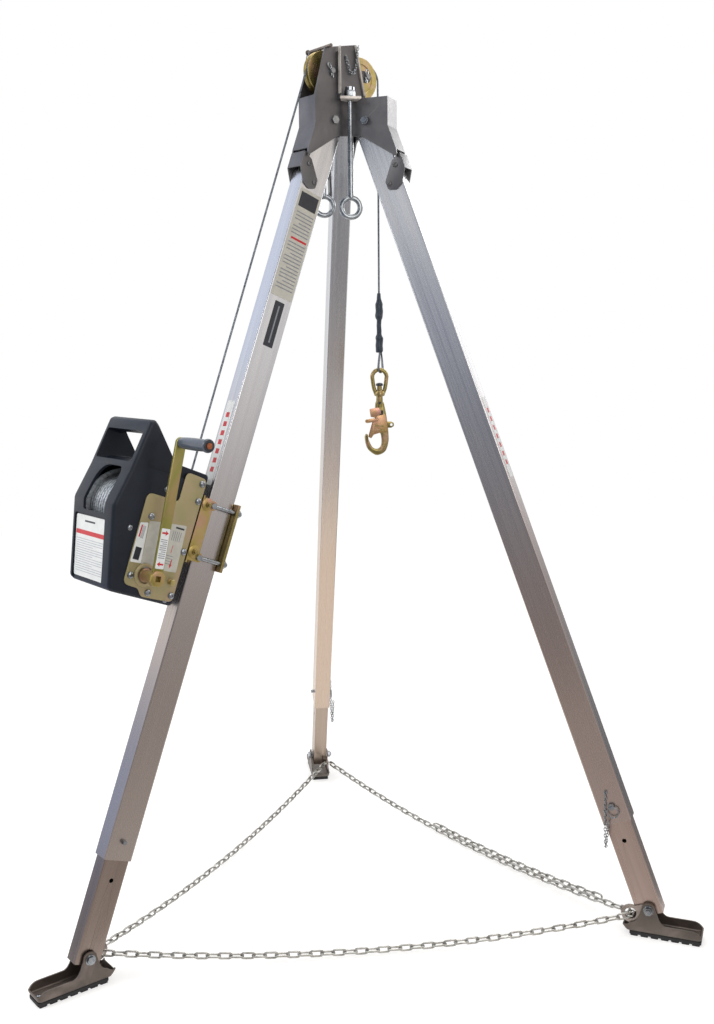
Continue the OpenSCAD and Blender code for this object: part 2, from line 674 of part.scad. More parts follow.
module winch_housing() color(housing_navy) leg_frame(LEFT) difference() {
  slab(housing_far, gear_side) polygon(housing_outline);
  slab(housing_far + housing_wall, gear_side - housing_wall) polygon(cavity_outline);
  slab(housing_far + handle_wall, gear_side - handle_wall) polygon(gap_outline);
  slab(window_v[0], window_v[1]) translate([drum_u + 40, -window_s[1]])
    square([flange_r, window_s[1] - window_s[0]]);
  translate([drum_u - wind_r - slot_half, drum_far + flange_t, -roof_s - 1])
    cube([2 * slot_half, drum_near - drum_far - 2 * flange_t, 40]);
  translate([drum_u, 0, -drum_s]) rod_y(drum_axle_r + run_gap, housing_far - 1, gear_side + 1);
  translate([crank_u, 0, -crank_s]) rod_y(shaft_r + run_gap, 0, gear_side + 1);
}

cover_outline = [
  at_us(drum_u + 37, drum_s - 43), at_us(drum_u + 33, crank_s + 30), at_us(drum_u - 5, crank_s + 32),
  at_us(drum_u - 19, crank_s + 48), at_us(housing_back + 6, crank_s + 44),
  at_us(housing_back + 6, drum_s - 109), at_us(drum_u - 43, drum_s - 112), at_us(drum_u - 43, drum_s - 43)
];
screw_at = [
  at_us(drum_u + 21, crank_s + 8), at_us(drum_u - 32, crank_s + 36), at_us(housing_back + 14, crank_s + 30),
  at_us(housing_back + 14, drum_s + 62), at_us(housing_back + 14, drum_s - 56),
  at_us(housing_back + 16, drum_s - 96), at_us(drum_u + 12, drum_s + 6)
];
module gear_cover() color(cover_tan) leg_frame(LEFT) difference() {
  slab(gear_side, cover_out) polygon(cover_outline);
  translate([crank_u, 0, -crank_s]) rod_y(shaft_r + run_gap, 0, cover_out + 1);
}

screw_r = 6;
screw_h = 4;
module cover_screws() color(zinc) leg_frame(LEFT) for (at = screw_at) translate([at[0], cover_out, at[1]])
  rotate([-90, 0, 0]) {
    cylinder(r = screw_r, h = screw_h / 2);
    translate([0, 0, screw_h / 2]) cylinder(r1 = screw_r, r2 = screw_r * 0.6, h = screw_h / 2);
  }

// Drum on its axle, with the outer layer of rope as one helix over the inner layers
module winch_drum() color(head_grey) leg_frame(LEFT) translate([drum_u, 0, -drum_s]) {
  rod_y(drum_axle_r, housing_far + slack, gear_side - slack);
  rod_y(core_r, drum_far, drum_near);
  for (y = [drum_far, drum_near - flange_t]) translate([0, y, 0]) rod_y(flange_r, 0, flange_t);
}

wind_sides = 6;
wind_inset = 1;
wind_start = 180 + run_turn - leg_tilt;
function wind_point(i) =
  let (a = wind_start + 360 * i / turn_steps, v = wind_near - wind_inset - wind_pitch * i / turn_steps)
    [drum_u + wind_r * cos(a), v, -drum_s + wind_r * sin(a)];
function wind_dir(i) = unit(wind_point(i + 0.01) - wind_point(i - 0.01));
wind_last = wind_turns * turn_steps;
wind_turn_path = [for (i = [0 : wind_last]) wind_point(i)];
wind_path = concat([wind_point(0) - rope_d * wind_dir(0)], wind_turn_path,
  [wind_point(wind_last) + rope_d * wind_dir(wind_last)]);
wind_gap = min([
  for (i = [0 : wind_last - turn_steps - 1], j = [-1 : 1])
    norm(wind_turn_path[i + turn_steps + j] - wind_turn_path[i])
]) - rope_d;
echo(str("Least gap between the turns on the drum, mm: ", wind_gap));
module drum_winding() color(zinc) leg_frame(LEFT) tube(wind_path, rope_d / 2, wind_sides, [0, 1, 0]);

// Gears: straight flanked teeth with generous backlash
tooth_outline = [[-0.32, -tooth_root], [-0.1, tooth_tip], [0.1, tooth_tip], [0.32, -tooth_root]];
module gear_outline(teeth, phase) {
  r = gear_module * teeth / 2;
  step = 360 / teeth;
  polygon([
    for (i = [0 : teeth - 1], k = tooth_outline)
      let (a = phase + step * (i + k[0]), d = r + gear_module * k[1]) [d * cos(a), d * sin(a)]
  ]);
}
mesh_angle = -90 - crank_turn;
module drum_gear() color(head_grey) leg_frame(LEFT) translate([drum_u, 0, -drum_s]) difference() {
  slab(gear_far, gear_near) gear_outline(drum_teeth, mesh_angle);
  rod_y(drum_axle_r + seat_gap, 0, gear_side);
}
module crank_pinion() color(zinc) leg_frame(LEFT) translate([crank_u, 0, -crank_s]) {
  slab(gear_far, gear_near) gear_outline(pinion_teeth, mesh_angle + 180 + 180 / pinion_teeth);
  rod_y(shaft_r, gear_far, arm_near);
}

// Crank: arm with its hub and sleeve on the shaft, and a turning grip on a bolt
arm_w = 24;
drive_square = 12.7;
grip_end = [crank_len * sin(crank_lean), crank_len * cos(crank_lean)];
module crank_arm() color(gold_zinc) leg_frame(LEFT) translate([crank_u, 0, -crank_s]) difference() {
  union() {
    rod_y(sleeve_r, cover_out + 2, arm_near);
    rod_y(hub_r, arm_near - 8, arm_near + crank_t + 4, 8);
    rotate([0, crank_lean, 0]) slab(arm_near, arm_near + crank_t) difference() {
      union() {
        translate([-arm_w / 2, 0]) square([arm_w, crank_len]);
        translate([0, crank_len]) circle(arm_w / 2);
      }
      translate([0, crank_len]) circle(grip_bolt_r + seat_gap);
    }
  }
  rod_y(shaft_r + seat_gap, 0, arm_near);
  slab(arm_near - 1, arm_near + 20) square(drive_square, center = true);
}

module at_grip() leg_frame(LEFT) translate([crank_u + grip_end[0], 0, -crank_s + grip_end[1]]) children();
grip_from = arm_near + crank_t + slack;
module grip_bolt() color(bolt_copper) at_grip() {
  rod_y(grip_bolt_r, arm_near - 3, grip_from + grip_len + 2);
  rod_y(grip_bolt_r + 3, arm_near - 6, arm_near - slack);
  rod_y(grip_cap_r, grip_from + grip_len + slack, grip_from + grip_len + grip_cap);
}
module crank_grip() color(grip_grey) at_grip() difference() {
  union() {
    rod_y(grip_r, grip_from, grip_from + grip_len);
    rod_y(grip_r + 1.5, grip_from + grip_len - 14, grip_from + grip_len);
  }
  rod_y(grip_bolt_r + run_gap, grip_from - 1, grip_from + grip_len + 1);
}

// Mount: an angle bracket on the housing's back, and a bar drawn on to the leg by four rods
rod_r = 5;
rod_v = upper_width / 2 + rod_r + 2;
bracket_t = 4;
bracket_v = rod_v + rod_r + 0.5;
rod_s = [drum_s - 57, drum_s + 65];
saddle_s = [drum_s - 72, drum_s + 50];
leg_face = upper_depth / 2;
lobe_r = 17;
lobe_u = leg_face - 6;
bracket_back = housing_back - seat_gap;
bar_t = 8;
module mount_bracket() color(gold_zinc) leg_frame(LEFT) difference() {
  union() {
    translate([bracket_back - bracket_t, -bracket_v - bracket_t, -rod_s[1] - lobe_r])
      cube([bracket_t, 2 * (bracket_v + bracket_t), rod_s[1] - rod_s[0] + 2 * lobe_r]);
    for (side = [0, 1]) mirror([0, side, 0]) {
      slab(bracket_v, bracket_v + bracket_t) translate([lobe_u, -rod_s[1] - lobe_r + 6])
        square([bracket_back - lobe_u, rod_s[1] - rod_s[0] + 2 * lobe_r - 12]);
      for (s = rod_s) translate([lobe_u, 0, -s]) rod_y(lobe_r - 6, bracket_v, bracket_v + bracket_t);
    }
    for (s = saddle_s) translate([leg_face + seat_gap, -upper_width / 2 + 4, -s - 15])
      cube([bracket_back - leg_face - seat_gap - 1, upper_width - 8, 15]);
  }
  for (s = rod_s) translate([lobe_u, 0, -s]) rod_y(rod_r - 1 + seat_gap, -80, 80);
}
rod_end = leg_face + bar_t + 12;
module clamp_rods() color(zinc) leg_frame(LEFT) for (side = [0, 1], s = rod_s) mirror([0, side, 0])
  translate([0, 0, -s]) {
    translate([0, rod_v, 0]) rod_x(rod_r, -rod_end, lobe_u + 8);
    translate([0, rod_v, 0]) rotate([0, 90, 0])
      translate([0, 0, -leg_face - bar_t - 8]) cylinder(r = 9, h = 8 - seat_gap, $fn = 6);
    translate([lobe_u, 0, 0]) rod_y(rod_r - 1, rod_v, bracket_v + bracket_t + 1);
    translate([lobe_u, 0, 0]) rod_y(7.5, bracket_v + bracket_t + seat_gap, bracket_v + bracket_t + 6, 6);
  }
bar_reach = 20;
module clamp_bar() color(gold_zinc) leg_frame(LEFT) difference() {
  translate([-leg_face - bar_t, -rod_v - 11, -rod_s[1] - bar_reach])
    cube([bar_t - seat_gap, 2 * rod_v + 22, rod_s[1] - rod_s[0] + 2 * bar_reach]);
  for (side = [-1, 1], s = rod_s) translate([0, side * rod_v, -s]) rod_x(rod_r + seat_gap, -80, 0);
}

// Rope from the winding to the outer sheave, in the left leg's radial plane
wind_exit = wind_point(0) - rope_d * wind_dir(0);
exit_xz = leg_xz(wind_exit[0], -wind_exit[2]);
run_low = [exit_xz[0], wind_exit[1], exit_xz[1]];
run_high = [sheave_out + sheave_r * cos(run_turn), 0, sheave_z + sheave_r * sin(run_turn)];
run_short = slack * unit(run_high - run_low);
run_path = [run_low + run_short, run_high - run_short];
module rope_run() color(zinc) bearing(leg_azimuth[LEFT]) tube(run_path, rope_d / 2, rope_sides, [0, 1, 0]);

// Hook line under the inner sheave
module hook_line() bearing(leg_azimuth[LEFT]) translate([-drop_r, 0, 0])
  rotate([0, 0, -leg_azimuth[LEFT]]) children();
module rope_drop() color(zinc) hook_line()
  tube([[0, 0, sheave_z - slack], [0, 0, sleeve_top]], rope_d / 2, rope_sides, [0, 1, 0]);

sleeve_tail = 25;
sleeve_len = 41;
sleeve_neck = 42;
sleeve_fat = 10;
thimble_r = 14;
thimble_wire = 4;
thimble_leg = 16;
sleeve_foot = sleeve_top - sleeve_tail - 2 * sleeve_len - sleeve_neck;
thimble_z = sleeve_foot - thimble_leg - thimble_r - 6;
module rope_sleeve() color(sleeve_black) hook_line() {
  translate([0, 0, sleeve_top - sleeve_tail])
    cylinder(r1 = sleeve_fat * 0.7, r2 = sleeve_fat * 0.45, h = sleeve_tail);
  cylinder_z(sleeve_fat, sleeve_top - sleeve_tail - sleeve_len, sleeve_top - sleeve_tail);
  cylinder_z(sleeve_fat * 0.72, sleeve_foot + sleeve_len - 1, sleeve_foot + sleeve_len + sleeve_neck + 1);
  cylinder_z(sleeve_fat, sleeve_foot, sleeve_foot + sleeve_len);
  for (side = [-1, 1]) translate([0, side * thimble_r, thimble_z]) rotate([side * thimble_lean, 0, 0])
    cylinder(r = thimble_wire, h = (sleeve_foot - thimble_z + 3) / cos(thimble_lean));
  translate([0, 0, thimble_z]) rotate([0, 90, 0]) rotate([0, 0, -90]) rotate_extrude(angle = 180)
    translate([thimble_r, 0]) circle(thimble_wire);
}
thimble_lean = atan2(thimble_r - 4, sleeve_foot - thimble_z + 3);

bail_wire = 4.5;
bail_half = 15.5;
bail_top = thimble_z - thimble_r + thimble_wire + slack + bail_wire;
bail_drop = 62;
bail_block = bail_half + bail_wire + 1.5;
swivel_r = 6;
swivel_z = bail_top - bail_drop;
module swivel_bail() color(zinc) hook_line() difference() {
  union() {
    translate([0, 0, bail_top - bail_half]) rotate([90, 0, 0]) rotate_extrude(angle = 180)
      translate([bail_half, 0]) circle(bail_wire);
    for (side = [-1, 1]) translate([side * bail_half, 0, swivel_z])
      cylinder(r = bail_wire, h = bail_drop - bail_half);
    translate([0, 0, swivel_z - 7]) intersection() {
      cylinder(r = bail_block, h = 14);
      translate([-40, -9, 0]) cube([80, 18, 14]);
    }
  }
  translate([0, 0, swivel_z - 20]) cylinder(r = swivel_r + run_gap, h = 40);
}

// Hook: the spine on the right, the nose on the left, and the gate between neck and nose
hook_wire = 8.5;
hook_ball = hook_wire + 0.4;
bowl_r = 21;
neck_z = swivel_z - 7 - slack;
bowl_z = neck_z - 122;
nose_z = bowl_z + 28;
gate_x = -8;
gate_z = neck_z - 46;
lug_y = 6.4;
lug_t = 3.4;
gate_pin_r = 3;
module hook_body() color(gold_zinc) hook_line() {
  cylinder_z(swivel_r, neck_z - 20, swivel_z + 8);
  cylinder_z(swivel_r + 3.5, swivel_z + 7 + slack, swivel_z + 18);
  cylinder_z(11, neck_z - 30, neck_z);
  translate([0, 0, bowl_z]) rotate([90, 0, 0]) rotate([0, 0, 180]) rotate_extrude(angle = 180)
    translate([bowl_r, 0]) circle(hook_wire);
  bar_xz([bowl_r, bowl_z], [bowl_r, neck_z - 62], hook_wire);
  translate([bowl_r, 0, neck_z - 62]) sphere(hook_ball);
  bar_xz([bowl_r, neck_z - 62], [2, neck_z - 22], hook_wire);
  bar_xz([-bowl_r, bowl_z], [-bowl_r, nose_z], hook_wire);
  translate([-bowl_r, 0, nose_z]) sphere(hook_ball);
  for (side = [0, 1]) mirror([0, side, 0]) slab(lug_y, lug_y + lug_t)
    polygon([[gate_x - 6, gate_z - 5], [gate_x - 6, neck_z - 26], [8, neck_z - 26], [18, gate_z - 5]]);
  translate([gate_x, 0, gate_z]) rod_y(gate_pin_r, -lug_y - lug_t - lock_plate - 2, lug_y + lug_t + 1);
}

gate_wire = 5;
gate_ball = gate_wire + 0.4;
gate_tip = [-bowl_r + 1, nose_z + hook_ball + gate_ball + slack];
lock_plate = 3;
module hook_gate() color(zinc) hook_line() difference() {
  union() {
    translate([gate_x, 0, gate_z]) rod_y(6, -lug_y + slack, lug_y - slack);
    bar_xz([gate_x, gate_z], gate_tip, gate_wire);
    translate([gate_tip[0], 0, gate_tip[1]]) sphere(gate_ball);
  }
  translate([gate_x, 0, gate_z]) rod_y(gate_pin_r + run_gap, -20, 20);
}
lock_len = 22;
lock_turn = 100;
module hook_lock() color(gold_zinc) hook_line() translate([gate_x, 0, gate_z]) rotate([0, -lock_turn, 0])
  slab(-lug_y - lug_t - slack - lock_plate, -lug_y - lug_t - slack) difference() {
    union() {
      circle(6);
      translate([-5, 0]) square([10, lock_len]);
    }
    circle(gate_pin_r + run_gap);
  }

head_frame();
eye_bolts();
eye_nuts();
pivot_bolts();
pivot_nuts();
sheave_axles();
sheave_spacers();
keeper_pin();
sheave_left();
sheave_right();
rope_over_sheaves();
upper_leg(LEFT);  // upper_leg_left
upper_leg(RIGHT);  // upper_leg_right
upper_leg(REAR);  // upper_leg_rear
lock_bracket(LEFT);  // lock_bracket_left
lock_bracket(RIGHT);  // lock_bracket_right
lock_bracket(REAR);  // lock_bracket_rear
lower_leg(LEFT);  // lower_leg_left
lower_leg(RIGHT);  // lower_leg_right
lower_leg(REAR);  // lower_leg_rear
leg_pin(LEFT);  // leg_pin_left
leg_pin(RIGHT);  // leg_pin_right
leg_pin(REAR);  // leg_pin_rear
foot_bolt(LEFT);  // foot_bolt_left
foot_bolt(RIGHT);  // foot_bolt_right
foot_bolt(REAR);  // foot_bolt_rear
chain_ear(LEFT);  // chain_ear_left
chain_ear(RIGHT);  // chain_ear_right
chain_ear(REAR);  // chain_ear_rear
foot_shoe(LEFT);  // foot_shoe_left
foot_shoe(RIGHT);  // foot_shoe_right
foot_shoe(REAR);  // foot_shoe_rear
foot_sole(LEFT);  // foot_sole_left
foot_sole(RIGHT);  // foot_sole_right
foot_sole(REAR);  // foot_sole_rear
chain_front();
chain_left();
chain_right();
chain_tail();
winch_housing();
gear_cover();
cover_screws();
winch_drum();
drum_winding();
drum_gear();
crank_pinion();
crank_arm();
grip_bolt();
crank_grip();
mount_bracket();
clamp_rods();
clamp_bar();
rope_run();
rope_drop();
rope_sleeve();
swivel_bail();
hook_body();
hook_gate();
hook_lock();
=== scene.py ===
"""Rescue tripod: finishes, ropes, chain, winch shell, hook and trim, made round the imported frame."""
import json
import math

import bmesh
import bpy
import numpy as np
from mathutils import Matrix, Vector


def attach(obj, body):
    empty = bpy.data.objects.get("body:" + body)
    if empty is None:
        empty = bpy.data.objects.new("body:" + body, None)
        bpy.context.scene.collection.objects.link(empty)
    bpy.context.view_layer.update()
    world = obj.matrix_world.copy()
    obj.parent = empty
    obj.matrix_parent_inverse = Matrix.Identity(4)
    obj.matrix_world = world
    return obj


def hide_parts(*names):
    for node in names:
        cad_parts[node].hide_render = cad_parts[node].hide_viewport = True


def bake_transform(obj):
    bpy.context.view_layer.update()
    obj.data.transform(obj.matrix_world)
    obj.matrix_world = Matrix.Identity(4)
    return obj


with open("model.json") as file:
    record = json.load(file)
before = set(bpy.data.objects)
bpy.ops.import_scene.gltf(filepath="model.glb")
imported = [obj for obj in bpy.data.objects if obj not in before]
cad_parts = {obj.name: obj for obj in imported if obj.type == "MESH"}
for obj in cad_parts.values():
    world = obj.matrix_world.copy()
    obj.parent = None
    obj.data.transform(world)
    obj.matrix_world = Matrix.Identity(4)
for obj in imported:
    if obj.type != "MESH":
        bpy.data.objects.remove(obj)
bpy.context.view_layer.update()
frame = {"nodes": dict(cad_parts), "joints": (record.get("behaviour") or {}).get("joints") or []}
NODES = frame["nodes"]
JOINTS = {j["name"]: j for j in frame["joints"]}
MM = 0.001
UP = np.array([0.0, 0.0, 1.0])
LEGS = ("left", "right", "rear")


# Places on the object


def unit(v):
    """The vector, or each row of vectors, at length one."""
    v = np.asarray(v, float)
    return v / np.linalg.norm(v, axis=-1, keepdims=True)


PIVOT = {leg: np.array(JOINTS[leg + "_fold"]["pos_m"]) for leg in LEGS}
ALONG = {leg: np.array(JOINTS[leg + "_fold"]["axis"]) for leg in LEGS}
DOWN = {leg: unit(JOINTS[leg + "_extend"]["axis"]) for leg in LEGS}
OUT = {leg: np.cross(DOWN[leg], ALONG[leg]) for leg in LEGS}
AXIS = np.mean([PIVOT[leg] for leg in LEGS], axis=0) * [1, 1, 0]
RADIAL = {leg: unit((PIVOT[leg] - AXIS) * [1, 1, 0]) for leg in LEGS}
FOOT_AT = {leg: np.array(JOINTS[leg + "_foot_tilt"]["pos_m"]) for leg in LEGS}


def spread(origin, steps, vectors):
    """Points at an origin plus steps in millimetres along three vectors; steps may be whole arrays."""
    steps = np.broadcast_arrays(*[np.asarray(s, float) for s in steps])
    return origin + MM * sum(s[..., None] * v for s, v in zip(steps, vectors))


def on_leg(leg, u, v, s):
    """A point in a leg's frame: u outwards, v along its pivot bolt, s down the leg from the pivot."""
    return spread(PIVOT[leg], (u, v, s), (OUT[leg], ALONG[leg], DOWN[leg]))


def on_head(leg, r, v, z):
    """A point on a leg's bearing: r from the tripod's axis, v along the pivot bolt, z above the floor."""
    return spread(AXIS, (r, v, z), (RADIAL[leg], ALONG[leg], UP))


def on_foot(leg, x, v, z):
    """A point about a foot bolt: x away from the axis, v along the bolt, z up."""
    return spread(FOOT_AT[leg], (x, v, z), (RADIAL[leg], ALONG[leg], UP))


HOOK_AT = np.array(JOINTS["hook_swivel"]["pos_m"]) * [1, 1, 0]


def on_hook(x, y, z):
    """A point about the hanging rope: x and y across it, z above the floor."""
    return spread(HOOK_AT, (x, y, z), np.eye(3))


# Surfaces worked out as arrays


def grid(points, wrap_rows=False, wrap_cols=False, caps=False):
    """A grid of points as a surface: rows follow one parameter, columns the other; caps close the ends."""
    rows, cols = points.shape[:2]
    i, j = np.meshgrid(np.arange(rows - (not wrap_rows)), np.arange(cols - (not wrap_cols)), indexing="ij")
    below, beside = (i + 1) % rows, (j + 1) % cols
    quads = np.stack([i * cols + j, below * cols + j, below * cols + beside, i * cols + beside], -1)
    faces = quads.reshape(-1, 4).tolist()
    if caps:
        faces.append(list(range(cols - 1, -1, -1)))
        faces.append(list(range((rows - 1) * cols, rows * cols)))
    return points.reshape(-1, 3), faces


def ring(r, n=12, squash=1.0):
    """A round section of radius r in millimetres, or an oval where squash isn't one."""
    a = np.linspace(0, 2 * math.pi, n, endpoint=False)
    return MM * np.stack([r * np.cos(a), r * squash * np.sin(a)], -1)


def sweep(path, section, side, loop=False):
    """A section carried along a path: each ring lies square to the path, with side kept across it."""
    path = np.asarray(path, float)
    ahead = np.roll(path, -1, 0) - np.roll(path, 1, 0) if loop else np.gradient(path, axis=0)
    ahead = unit(ahead)
    side = np.broadcast_to(np.asarray(side, float), path.shape)
    b = unit(side - (side * ahead).sum(1, keepdims=True) * ahead)
    c = np.cross(ahead, b)
    section = np.broadcast_to(section, (len(path),) + section.shape[-2:])
    points = path[:, None] + section[..., :1] * b[:, None] + section[..., 1:] * c[:, None]
    return grid(points, wrap_rows=loop, wrap_cols=True, caps=not loop)


def lathe(profile, origin, axis, n=32):
    """A profile of radius and height, in millimetres, turned about an axis through origin."""
    profile = np.asarray(profile, float)
    axis = unit(axis)
    b = unit(np.cross(axis, [0.31, 0.52, 0.79]))
    c = np.cross(axis, b)
    a = np.linspace(0, 2 * math.pi, n, endpoint=False)
    turn = np.cos(a)[:, None] * b + np.sin(a)[:, None] * c
    points = origin + MM * (profile[:, None, :1] * turn + profile[:, None, 1:] * axis)
    return grid(points, wrap_cols=True, caps=True)


def fillet(corners, radius, steps=5):
    """An outline with each corner turned into an arc; radius is one number or one for each corner."""
    corners = np.asarray(corners, float)
    radii = np.broadcast_to(np.asarray(radius, float), len(corners))
    before, after = np.roll(corners, 1, 0), np.roll(corners, -1, 0)
    p, q = unit(before - corners), unit(after - corners)
    half = np.arccos(np.clip((p * q).sum(1), -1, 1)) / 2
    reach = [np.linalg.norm(other - corners, axis=1) for other in (before, after)]
    room = 0.48 * np.minimum(*reach)
    cut = np.minimum(radii / np.tan(np.maximum(half, 0.05)), room)
    t = np.linspace(0, 1, steps)[None, :, None]
    start, end = corners + p * cut[:, None], corners + q * cut[:, None]
    arc = (1 - t) ** 2 * start[:, None] + 2 * t * (1 - t) * corners[:, None] + t ** 2 * end[:, None]
    return arc.reshape(-1, 2)


def inset(outline, distance):
    """An outline drawn in by a distance, each point moved along the mean normal of its two edges."""
    ahead = unit(np.roll(outline, -1, 0) - outline + 1e-9)
    behind = np.roll(ahead, 1, 0)
    (x, y), (next_x, next_y) = outline.T, np.roll(outline, -1, 0).T
    turn = np.sign(np.sum(x * next_y - next_x * y))
    normal = turn * np.stack([-(ahead + behind)[:, 1], (ahead + behind)[:, 0]], -1)
    stretch = np.maximum((normal ** 2).sum(1, keepdims=True), 0.8) / 2
    return outline + distance * normal / stretch


def rims(low, high, edge, steps):
    """How far a plate draws in at which height: a quarter circle of radius edge at its foot and its top."""
    a = np.linspace(0, math.pi / 2, steps)
    draw_in, rise = edge * (1 - np.sin(a)), edge * (1 - np.cos(a))
    height = np.concatenate([low + rise, (high - rise)[::-1]])
    return zip(np.concatenate([draw_in, draw_in[::-1]]), height)


def plate(outline, low, high, place, edge=0.6, steps=3):
    """A plate between two heights over an outline, its rims rounded; place turns x, y, height to points."""
    rows = [place(*inset(outline, d).T, h) for d, h in rims(low, high, edge, steps)]
    return grid(np.stack(rows), wrap_cols=True, caps=True)


def block(corners, radii, low, high, place, edge, steps=5, arc=6):
    """A thick plate with wide rounded rims: as the corners draw in, their own arcs get as much smaller."""
    corners, radii = np.asarray(corners, float), np.asarray(radii, float)
    rows = [place(*fillet(inset(corners, d), np.maximum(radii - d, 0.6), arc).T, h)
            for d, h in rims(low, high, edge, steps)]
    return grid(np.stack(rows), wrap_cols=True, caps=True)


def box(x0, x1, y0, y1):
    """The corners of a rectangle."""
    return np.array([(x0, y0), (x1, y0), (x1, y1), (x0, y1)], float)


def polygon(r, n, first):
    """The corners of a regular polygon, the first of them at an angle in degrees."""
    a = np.radians(first + 360 / n * np.arange(n))
    return r * np.stack([np.cos(a), np.sin(a)], -1)


def smooth(points, n, loop=False):
    """n points on a smooth curve through the given ones, by Catmull and Rom's cubic."""
    p = np.asarray(points, float)
    ends = (p[-1:], p[:2]) if loop else (2 * p[:1] - p[1:2], 2 * p[-1:] - p[-2:-1])
    k = np.concatenate([ends[0], p, ends[1]])
    spans = len(p) if loop else len(p) - 1
    t = np.linspace(0, spans, n, endpoint=not loop)
    i = np.minimum(t.astype(int), spans - 1)
    f = (t - i)[:, None]
    a, b, c, d = k[i], k[i + 1], k[i + 2], k[i + 3]
    square, cube = 2 * a - 5 * b + 4 * c - d, 3 * b - a - 3 * c + d
    return 0.5 * (2 * b + (c - a) * f + square * f ** 2 + cube * f ** 3)


def even(path, step):
    """The same path with points an even step apart."""
    path = np.asarray(path, float)
    run = np.concatenate([[0], np.cumsum(np.linalg.norm(np.diff(path, axis=0), axis=1))])
    at = np.linspace(0, run[-1], max(2, int(run[-1] / step) + 1))
    return np.stack([np.interp(at, run, path[:, k]) for k in range(3)], -1), at


# Finishes


def linear(code):
    """Linear colour of an sRGB hex value."""
    c = np.array([int(code[i:i + 2], 16) for i in (1, 3, 5)]) / 255
    return (*np.where(c <= 0.04045, c / 12.92, ((c + 0.055) / 1.055) ** 2.4).tolist(), 1.0)


def add(tree, kind, links=None, **settings):
    """One shader node: settings are its attributes, links its inputs as values or as sockets."""
    made = tree.nodes.new(kind)
    for name, value in settings.items():
        setattr(made, name, value)
    for name, value in (links or {}).items():
        if isinstance(value, bpy.types.NodeSocket):
            tree.links.new(value, made.inputs[name])
        else:
            made.inputs[name].default_value = value
    return made


# The sockets of a Mix node that hold colours
MIX_A, MIX_B, MIX_OUT = 6, 7, 2


def finish(name, colours, rough, metallic=0.0, patch=40.0, grain=3.0, depth=0.0, vary=0.08,
           stretch=(1, 1, 1), turn=(0, 0, 0), coat=0.0, fade=None, gleam=0.5, crevice_shade=None):
    """A surface of two or three colours in soft patches, with a grain in its gloss and its relief.

    patch and grain are sizes in millimetres, depth the relief's height, stretch draws the grain out along
    an axis of the coordinates once turn has turned them, and vary is how far the gloss wanders. fade is
    two places in metres along the turned z axis and the colour that comes in between them, used for a
    painted reflection down the legs, and gleam is how much a plastic mirrors. The last argument, painted
    shade, darkens what lies near an axis along the turned y: its centre in metres, the two distances
    between which the colour comes back, and the dark colour. Each of these is one layer of colour over
    the first, as thick as its share between two values.
    """
    material = bpy.data.materials.new(name)
    material.use_nodes = True
    tree = material.node_tree
    shader = tree.nodes["Principled BSDF"]
    shader.inputs["Metallic"].default_value = metallic
    shader.inputs["Coat Weight"].default_value = coat
    shader.inputs["Specular IOR Level"].default_value = gleam
    place = add(tree, "ShaderNodeTexCoord").outputs["Object"]
    turned = add(tree, "ShaderNodeMapping", {"Vector": place, "Rotation": turn}).outputs[0]
    drawn = add(tree, "ShaderNodeMapping", {"Vector": turned, "Scale": stretch}).outputs[0]
    cloud = add(tree, "ShaderNodeTexNoise", {"Vector": drawn, "Scale": 1 / (patch * MM), "Detail": 4.0})
    layers = [(cloud.outputs[0], 0.36, 0.64, "LINEAR", colours[1])]
    if len(colours) > 2:
        cloud = add(tree, "ShaderNodeTexNoise", {"Vector": drawn, "Scale": 0.7 / (patch * MM),
                                                 "Detail": 3.0, "Distortion": 0.6})
        layers.append((cloud.outputs[0], 0.5, 0.68, "LINEAR", colours[2]))
    if fade:
        along = add(tree, "ShaderNodeSeparateXYZ", {"Vector": turned}).outputs["Z"]
        layers.append((along, fade[0], fade[1], "SMOOTHSTEP", fade[2]))
    # Painted shade: a dark colour near an axis, for the crevices between wound turns
    if crevice_shade:
        centre, dark, clear, code = crevice_shade
        level = add(tree, "ShaderNodeVectorMath", {0: turned, 1: (1, 0, 1)}, operation="MULTIPLY")
        away = add(tree, "ShaderNodeVectorMath", {0: level.outputs[0], 1: centre}, operation="DISTANCE")
        layers.append((away.outputs["Value"], clear, dark, "LINEAR", code))
    colour = linear(colours[0])
    for value, start, end, kind, code in layers:
        share = add(tree, "ShaderNodeMapRange", {"Value": value, "From Min": start, "From Max": end},
                    interpolation_type=kind)
        colour = add(tree, "ShaderNodeMix", {"Factor": share.outputs[0], MIX_A: colour, MIX_B: linear(code)},
                     data_type="RGBA").outputs[MIX_OUT]
    tree.links.new(colour, shader.inputs["Base Color"])
    fine = add(tree, "ShaderNodeTexNoise", {"Vector": drawn, "Scale": 1 / (grain * MM), "Detail": 3.0})
    gloss = add(tree, "ShaderNodeMapRange", {"Value": fine.outputs[0], "From Min": 0.3, "From Max": 0.7,
                                             "To Min": rough - vary, "To Max": rough + vary})
    tree.links.new(gloss.outputs[0], shader.inputs["Roughness"])
    if depth:
        relief = add(tree, "ShaderNodeBump", {"Height": fine.outputs[0], "Distance": depth * MM,
                                              "Strength": 0.6})
        tree.links.new(relief.outputs[0], shader.inputs["Normal"])
    return material


def leg_turn(leg):
    """The turn that brings a leg's own axes on to x, y and z, so that a grain can follow the leg."""
    return Matrix([OUT[leg], ALONG[leg], DOWN[leg]]).to_euler()


def leg_painted_reflection(leg, start, end, code):
    """Where along a leg the colour of a painted reflection comes in, from one distance below the pivot to
    another.
    """
    first, last = (float(DOWN[leg] @ on_leg(leg, 0, 0, s)) for s in (start, end))
    return first, last, code
